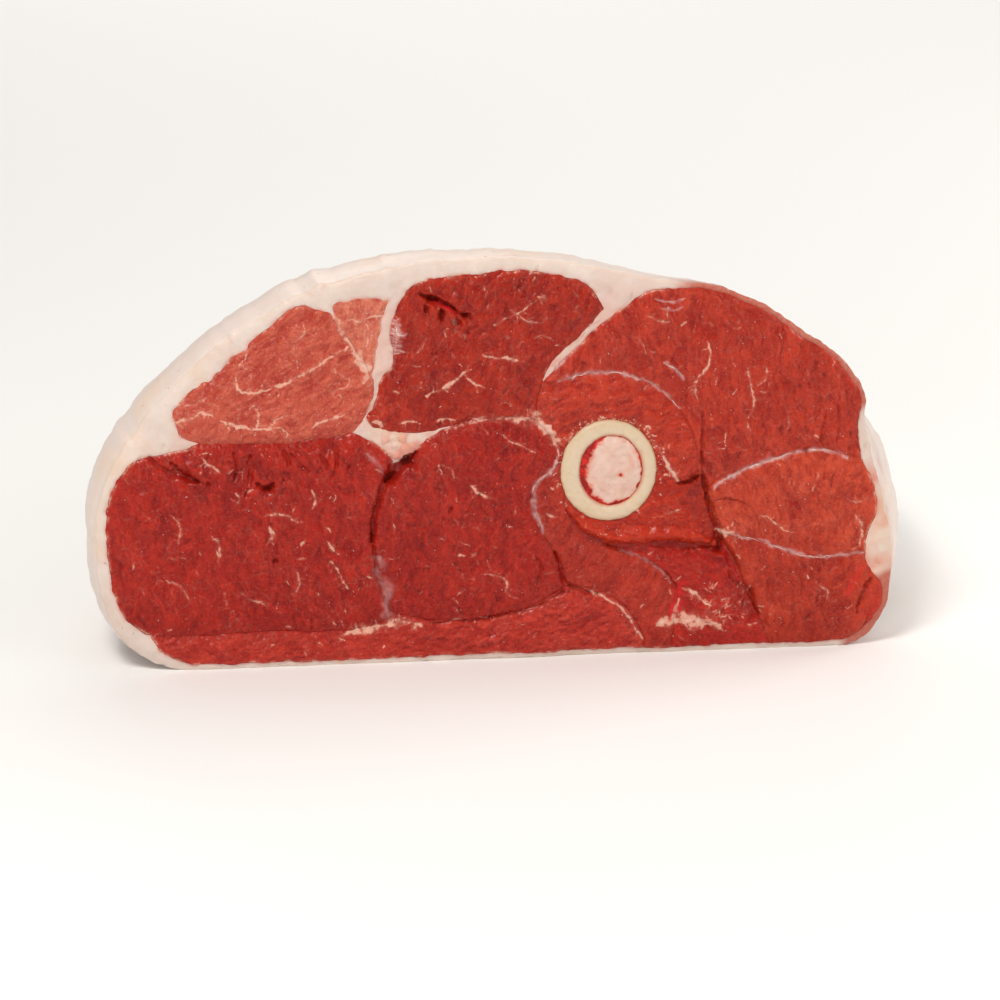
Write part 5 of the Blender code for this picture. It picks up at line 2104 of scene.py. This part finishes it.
class Grower(Tree):
    """A Geometry Nodes tree: drawn node by node, then run once to give a plain mesh."""

    def __init__(self, name: str, **inputs: str) -> None:
        """Start a tree.

        Args:
            name: Its name.
            inputs: The names of its inputs, with _ for a space, and their kinds, such as Float.
        """
        self.tree = bpy.data.node_groups.new(name, "GeometryNodeTree")
        face = self.tree.interface
        face.new_socket(name="Geometry", in_out="INPUT", socket_type="NodeSocketGeometry")
        self.sockets = {key: face.new_socket(name=key.replace("_", " "), in_out="INPUT",
                                             socket_type=f"NodeSocket{kind}").identifier
                        for key, kind in inputs.items()}
        face.new_socket(name="Geometry", in_out="OUTPUT", socket_type="NodeSocketGeometry")
        self.start = self.tree.nodes.new("NodeGroupInput")

    def given(self, key: str) -> Socket:
        """Read one of the tree's inputs."""
        return self.start.outputs[key.replace("_", " ")]

    def work(self, kind: str, a: Socket, b: object) -> Socket:
        """Work out a sum of two vectors, such as ADD or MULTIPLY, or scale a vector."""
        second = {"Scale": b} if kind == "SCALE" else {"n1": b}
        return self.node("ShaderNodeVectorMath", {"operation": kind}, n0=a, **second).outputs[0]

    def scatter(self, low: object, high: object, seed: object) -> Socket:
        """Draw a random number between two others for each point."""
        return self.node("FunctionNodeRandomValue", {"data_type": "FLOAT"}, n2=low, n3=high,
                         Seed=seed).outputs[1]

    def lumps(self, place: Socket, scale: float, detail: float) -> bpy.types.Node:
        """Draw noise that changes with the tree's seed."""
        return self.node("ShaderNodeTexNoise", {"noise_dimensions": "4D"}, Vector=place, W=self.given("Seed"),
                         Scale=scale, Detail=detail)

    def close(self, geometry: Socket) -> None:
        """End the tree with real geometry and its material.

        Args:
            geometry: What has been made so far.
        """
        smooth = self.node("GeometryNodeSetShadeSmooth", n0=geometry)
        real = self.node("GeometryNodeRealizeInstances", Geometry=smooth.outputs[0])
        dressed = self.node("GeometryNodeSetMaterial", Geometry=real.outputs[0],
                            Material=self.given("Material"))
        self.node("NodeGroupOutput", n0=dressed.outputs[0])

    def grow(self, name: str, seedbed: bpy.types.Mesh, **values: object) -> bpy.types.Object:
        """Run the tree once.

        Args:
            name: The new piece's name.
            seedbed: The mesh that the tree works on.
            values: The inputs' values, by name.

        Returns:
            The new piece, a plain mesh.
        """
        bed = shown(f"{name}_bed", seedbed)
        modifier = bed.modifiers.new("grow", "NODES")
        modifier.node_group = self.tree
        for key, value in values.items():
            modifier[self.sockets[key]] = value
        evaluated = bed.evaluated_get(bpy.context.evaluated_depsgraph_get())
        mesh = bpy.data.meshes.new_from_object(evaluated)
        mesh.name = name
        bed.modifiers.remove(modifier)
        bpy.data.objects.remove(bed)
        return shown(name, mesh)


# How far back the cut face's relief lies, where a look at it starts in front and how far it goes, in mm
FACE_RELIEF, START_IN_FRONT, LOOK_BACK = 2.4, 12.0, 30.0


class Face:
    """The finished cut face as it can be touched from in front."""

    def __init__(self, pieces: list[bpy.types.Object]) -> None:
        """Gather the pieces' faces that lie in the cut face.

        Args:
            pieces: The finished pieces.
        """
        places, triangles, start = [], [], 0
        limit = (ORIGIN[1] + FACE_RELIEF) * MM
        for piece in pieces:
            mesh = piece.data
            at = np.empty(len(mesh.vertices) * 3, np.float32)
            mesh.vertices.foreach_get("co", at)
            at = at.reshape(-1, 3)
            corners = np.empty(len(mesh.loops), np.int32)
            mesh.loops.foreach_get("vertex_index", corners)
            corners = corners.reshape(-1, 3)
            corners = corners[np.all(at[corners][:, :, 1] < limit, axis=1)]
            used, number = np.unique(corners, return_inverse=True)
            places.append(at[used])
            triangles.append(number.reshape(-1, 3) + start)
            start += len(used)
        self.places, self.triangles = np.vstack(places), np.vstack(triangles)
        self.tree = BVHTree.FromPolygons(self.places.tolist(), self.triangles.tolist())

    def touch(self, uv: Array, above: float = 0.0) -> Array:
        """Find the surface in front of points of the cut face.

        Args:
            uv: The points, in mm.
            above: How far in front of the surface to stop, in mm.

        Returns:
            Their places in metres.
        """
        flat = FORM.carry(uv, -START_IN_FRONT)
        found = []
        for x, y, z in flat.tolist():
            hit = self.tree.ray_cast(Vector((x, y, z)), Vector((0.0, 1.0, 0.0)), LOOK_BACK * MM)[0]
            found.append((x, hit.y if hit else ORIGIN[1] * MM, z))
        found = np.array(found)
        found[:, 1] -= above * MM
        return found

    def bed(self, keep: Array) -> bpy.types.Mesh:
        """Make a mesh of some of the face's triangles, to scatter things on.

        Args:
            keep: Which triangles to use.

        Returns:
            The mesh.
        """
        mesh = bpy.data.meshes.new("bed")
        used, number = np.unique(self.triangles[keep], return_inverse=True)
        mesh.from_pydata(self.places[used].tolist(), [], number.reshape(-1, 3).tolist())
        return mesh

    def middles(self) -> Array:
        """Give each triangle's middle on the cut face, in mm."""
        middle = self.places[self.triangles].mean(axis=1) / MM - ORIGIN
        return np.stack([middle[:, 0], middle[:, 2] + FORM.base], axis=1)


@dataclass(frozen=True)
class Ribbons:
    """Thin strands that lie on the cut face along lines: silverskin, or torn membrane.

    width is theirs as a share of their line's, thickness a share of their width. The other sizes are in mm.
    """

    name: str
    finish: Finish
    lines: tuple[Line, ...]
    width: float
    thickness: float
    seed: int
    step: float = 0.35
    above: float = 0.02
    wander: float = 0.16

    def build(self, face: Face) -> bpy.types.Object:
        """Lay the strands on the cut face.

        Args:
            face: The finished cut face.

        Returns:
            The finished piece.
        """
        places, edges, widths = [], [], []
        for line in self.lines:
            at = face.touch(OUTLINES.strayed(line.path(self.step)), self.above)
            start = len(places)
            places += at.tolist()
            edges += [(start + n, start + n + 1) for n in range(len(at) - 1)]
            ends = np.sin(math.pi * np.linspace(0.03, 0.97, len(at))) ** 0.7
            widths += (self.width * line.width * ends).tolist()
        mesh = bpy.data.meshes.new(self.name)
        mesh.from_pydata(places, edges, [])
        layer = mesh.attributes.new("strand_width", "FLOAT", "POINT")
        layer.data.foreach_set("value", np.array(widths, np.float32))
        piece = self._grower().grow(self.name, mesh, Thickness=self.thickness, Wander=self.wander * MM,
                                    Seed=self.seed, Material=self.finish.make())
        return placed(piece, self.finish.slot)

    def _grower(self) -> Grower:
        """Draw the tree that turns a line into a flat, uneven strand.

        Returns:
            The tree.
        """
        grower = Grower(self.name, Thickness="Float", Wander="Float", Seed="Int", Material="Material")
        curve = grower.node("GeometryNodeMeshToCurve", Mesh=grower.given("Geometry"))
        place = grower.node("GeometryNodeInputPosition").outputs[0]
        shift = grower.lumps(place, 330.0, 4.0).outputs["Color"]
        flat = grower.work("MULTIPLY", grower.work("SUBTRACT", shift, (0.5, 0.5, 0.5)), (3.2, 0.4, 3.2))
        moved = grower.work("SCALE", flat, grower.given("Wander"))
        wandering = grower.node("GeometryNodeSetPosition", Geometry=curve.outputs[0], Offset=moved)
        width = grower.node("GeometryNodeInputNamedAttribute", {"data_type": "FLOAT"}, Name="strand_width")
        uneven = grower.node("ShaderNodeMapRange", n0=grower.lumps(place, 420.0, 5.0).outputs[0],
                             n1=0.38, n2=0.66, n3=0.02, n4=1.9)
        times = {"operation": "MULTIPLY"}
        radius = grower.node("ShaderNodeMath", times, n0=width.outputs[0], n1=uneven.outputs[0])
        metres = grower.node("ShaderNodeMath", times, n0=radius.outputs[0], n1=0.5 * MM)
        kept = grower.node("GeometryNodeCaptureAttribute", Geometry=wandering.outputs[0])
        kept.capture_items.new("VECTOR", "middle")
        grower.tree.links.new(place, kept.inputs[1])
        round_edge = grower.node("GeometryNodeCurvePrimitiveCircle", {"mode": "RADIUS"}, Resolution=8,
                                 Radius=1.0)
        tube = grower.node("GeometryNodeCurveToMesh", Curve=kept.outputs[0], n1=round_edge.outputs[0],
                           Scale=metres.outputs[0], Fill_Caps=True)
        thin = grower.node("ShaderNodeCombineXYZ", X=1.0, Y=grower.given("Thickness"), Z=1.0)
        arm = grower.work("SUBTRACT", place, kept.outputs[1])
        back = grower.work("ADD", grower.work("MULTIPLY", arm, thin.outputs[0]), kept.outputs[1])
        flattened = grower.node("GeometryNodeSetPosition", Geometry=tube.outputs[0], Position=back)
        grower.close(flattened.outputs[0])
        return grower


@dataclass(frozen=True)
class Crumbs:
    """Small crumbs scattered on part of the cut face, such as fat smeared by the saw."""

    name: str
    finish: Finish
    low: float
    high: float
    density: float
    seed: int
    flatness: float = 0.45

    def build(self, face: Face, keep: Array) -> bpy.types.Object:
        """Scatter the crumbs.

        Args:
            face: The finished cut face.
            keep: True for each of its triangles that crumbs may lie on.

        Returns:
            The finished piece.
        """
        grower = Grower(self.name, Density="Float", Smallest="Float", Largest="Float", Flatness="Float",
                        Seed="Int", Material="Material")
        points = grower.node("GeometryNodeDistributePointsOnFaces", Mesh=grower.given("Geometry"),
                             Density=grower.given("Density"), Seed=grower.given("Seed"))
        crumb = grower.node("GeometryNodeMeshIcoSphere", Radius=0.5, Subdivisions=1)
        sizes = grower.scatter(grower.given("Smallest"), grower.given("Largest"), grower.given("Seed"))
        longer = grower.scatter(0.7, 3.2, 7)
        shape = grower.node("ShaderNodeCombineXYZ", X=longer, Y=1.0, Z=grower.given("Flatness"))
        spin = grower.node("ShaderNodeCombineXYZ", Z=grower.scatter(0.0, 6.28, 11))
        turned = grower.node("FunctionNodeRotateRotation", {"rotation_space": "LOCAL"},
                             n0=points.outputs["Rotation"], n1=spin.outputs[0])
        placed_crumbs = grower.node("GeometryNodeInstanceOnPoints", Points=points.outputs[0],
                                    Instance=crumb.outputs[0], Rotation=turned.outputs[0],
                                    Scale=grower.work("SCALE", shape.outputs[0], sizes))
        grower.close(placed_crumbs.outputs[0])
        piece = grower.grow(self.name, face.bed(keep), Density=self.density, Smallest=self.low * MM,
                            Largest=self.high * MM, Flatness=self.flatness, Seed=self.seed,
                            Material=self.finish.make())
        return placed(piece, self.finish.slot)


@dataclass(frozen=True)
class Studio:
    """A pale floor, soft light all round and the camera. Lengths are in metres, angles in degrees."""

    floor_size: float = 6.0
    floor_colour: Colour = (0.86, 0.86, 0.86)
    warmth: Colour = (1.0, 0.965, 0.90)
    world_light: float = 0.30
    azimuth: float = -6.0
    elevation: float = 18.0
    distance: float = 1.25
    lens: float = 170.0
    aim: Triple = (-0.02889, 0.0, -0.00709)

    def build(self) -> None:
        """Set the floor, the lights and the camera up."""
        self._floor()
        middle = (0.0, 0.0, 0.05)
        self._light("key", (-0.40, -0.70, 1.05), 0.35, 10.0, middle)
        self._light("front", (-0.35, -1.3, 0.42), 0.30, 2.2, middle)
        self._light("top", (0.25, 0.15, 1.3), 1.0, 2.4, middle)
        self._light("fill", (1.0, -0.9, 0.55), 0.9, 3.5, middle)
        self._light("side", (0.9, 0.25, 0.45), 0.5, 3.5, (0.0, 0.05, 0.05))
        self._light("backdrop", (0.0, 1.3, 0.8), 0.9, 6.0, (0.0, 1.3, 0.0))
        world = bpy.data.worlds.new("soft_room")
        bpy.context.scene.world = world
        world.use_nodes = True
        background = world.node_tree.nodes["Background"]
        background.inputs["Color"].default_value = (1.0, 1.0, 1.0, 1.0)
        background.inputs["Strength"].default_value = self.world_light
        self._camera()
        bpy.context.scene.view_settings.view_transform = "Standard"

    def _floor(self) -> None:
        """Lay the floor under the leg."""
        half, low = self.floor_size / 2, ORIGIN[2] * MM
        mesh = bpy.data.meshes.new("floor")
        corners = [(-half, -half, low), (half, -half, low), (half, half, low), (-half, half, low)]
        mesh.from_pydata(corners, [], [(0, 1, 2, 3)])
        shader = Shader("pale_floor")
        shader.link(shader.mix(shader.noise(900.0, 2.0), self.floor_colour, (0.9, 0.9, 0.9)), "Base Color")
        shader.set(Roughness=0.8)
        mesh.materials.append(shader.material)
        floor = shown("floor", mesh)

    def _light(self, name: str, place: Triple, size: float, power: float,
               towards: Triple) -> None:
        """Hang a square soft light.

        Args:
            name: Its name.
            place: Where it hangs.
            size: The length of its sides.
            power: Its power in watts.
            towards: The place that it faces.
        """
        light = bpy.data.lights.new(name, "AREA")
        light.size, light.energy, light.color = size, power, self.warmth
        lamp = shown(name, light)
        lamp.location = place
        lamp.rotation_euler = (Vector(towards) - Vector(place)).to_track_quat("-Z", "Y").to_euler()

    def _camera(self) -> None:
        """Set the camera up in front of the cut face, a little above it and to its left."""
        turn, tilt = math.radians(self.azimuth), math.radians(self.elevation)
        back = Vector((math.sin(turn) * math.cos(tilt), -math.cos(turn) * math.cos(tilt), math.sin(tilt)))
        bone = Vector(ORIGIN + np.array([0.0, 0.0, -FORM.base])) * MM
        data = bpy.data.cameras.new("camera")
        data.lens, data.clip_start = self.lens, 0.01
        camera = shown("camera", data)
        camera.location = bone + Vector(self.aim) + back * self.distance
        camera.rotation_euler = back.to_track_quat("Z", "Y").to_euler()
        bpy.context.scene.camera = camera


def muscles() -> list[Muscle]:
    """List the muscles that show on the cut face.

    Returns:
        Them all, from the left round the bone to the right.
    """
    pale = MeatFinish("pale_lean_meat", "pale_lean_meat", (0.4400, 0.0400, 0.0260), 0.26, 0.30)
    small = MeatFinish("pale_lean_meat_small", "pale_lean_meat", (0.5433, 0.0866, 0.0597), 0.26, 0.30)
    thin = {"rise": 0.8, "rough": 0.18}
    red = (
        ("outside_round", "outside", (0.3087, 0.0068, 0.0020), {"lean": 70.0, "bundle": 1.7, "rough": 0.29}),
        ("inside_round", "inside", (0.3155, 0.0046, 0.0020), {"lean": 100.0, "bundle": 1.5}),
        ("inside_heart", "heart", (0.3073, 0.0044, 0.0020),
         {"lift": 0.4, "lean": 95.0, "bundle": 1.4, "rough": 0.30}),
        ("inside_strip", "strip", (0.3776, 0.0124, 0.0076), {"lean": 10.0, "rise": 0.8, "bundle": 1.2}),
        ("knuckle", "knuckle", (0.3600, 0.0120, 0.0052),
         {"lift": 0.2, "lean": 100.0, "bundle": 1.4, "stretch": 2.1}),
        ("knuckle_crescent", "crescent", (0.3598, 0.0121, 0.0052), {"lift": 0.3, "lean": 20.0, **thin}),
        ("bone_bed", "bone_bed", (0.3439, 0.0077, 0.0020), {**thin, "lift": -1.2, "lean": 0.0, "rise": 0.7}),
        ("knuckle_inner", "inner", (0.3272, 0.0099, 0.0049), {"lift": -0.5, "lean": 60.0, **thin}),
        ("knuckle_tail", "tail", (0.3283, 0.0040, 0.0020), {"lift": -1.8, "lean": 150.0, **thin}),
        ("front_upper", "front_upper", (0.4050, 0.0200, 0.0085), {"lean": 100.0, "rise": 0.9}),
        ("front_lower", "front_lower", (0.3380, 0.0113, 0.0043), {"lift": 0.5, "lean": 90.0, "rise": 1.0}),
    )
    return [
        Muscle("eye_round", look=pale, lean=35.0, bundle=1.5, rough=0.20),
        Muscle("eye_wedge", look=small, lean=80.0, bundle=1.2, rise=0.8),
        *(Muscle(node, look=MeatFinish(f"lean_meat_{part}", "lean_meat", base, 0.36), **sizes)
          for node, part, base, sizes in red),
    ]


def trimmings(face: Face) -> None:
    """Lay the strands of silverskin and the crumbs on the cut face.

    Args:
        face: The finished cut face.
    """
    meat_top, ring_inside, ring_outside, ring_bottom, faint, broad = 40.0, 12.9, 15.5, -2.0, 0.5, 2.0
    middles = face.middles()
    from_bone = np.linalg.norm(middles, axis=1)
    meat = middles[:, 1] < meat_top
    crisp = tuple(line for line in FILMS if line.strength > faint and line.width < broad)
    Ribbons("silverskin", SILVERSKIN, crisp + HAIRS, 0.30, 0.40, 5).build(face)
    fat, bone = StrandFinish("lamb_fat_crumbs"), StrandFinish("sawn_bone_crumbs", "sawn_bone")
    Crumbs("fat_crumbs", fat, 0.12, 0.34, 16000.0, 17, 0.25).build(face, meat)
    round_bone = (from_bone > ring_inside) & (from_bone < ring_outside) & (middles[:, 1] > ring_bottom)
    Crumbs("bone_crumbs", bone, 0.12, 0.30, 420000.0, 19).build(face, round_bone)


def main() -> None:
    """Build the leg, piece by piece, and light it."""
    logging.basicConfig(level=logging.INFO, format="%(message)s")
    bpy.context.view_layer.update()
    face = Face([piece.build() for piece in (FatCover(), *muscles(), ThighBone(), Marrow())])
    trimmings(face)
    Studio().build()


if __name__ == "__main__":
    main()
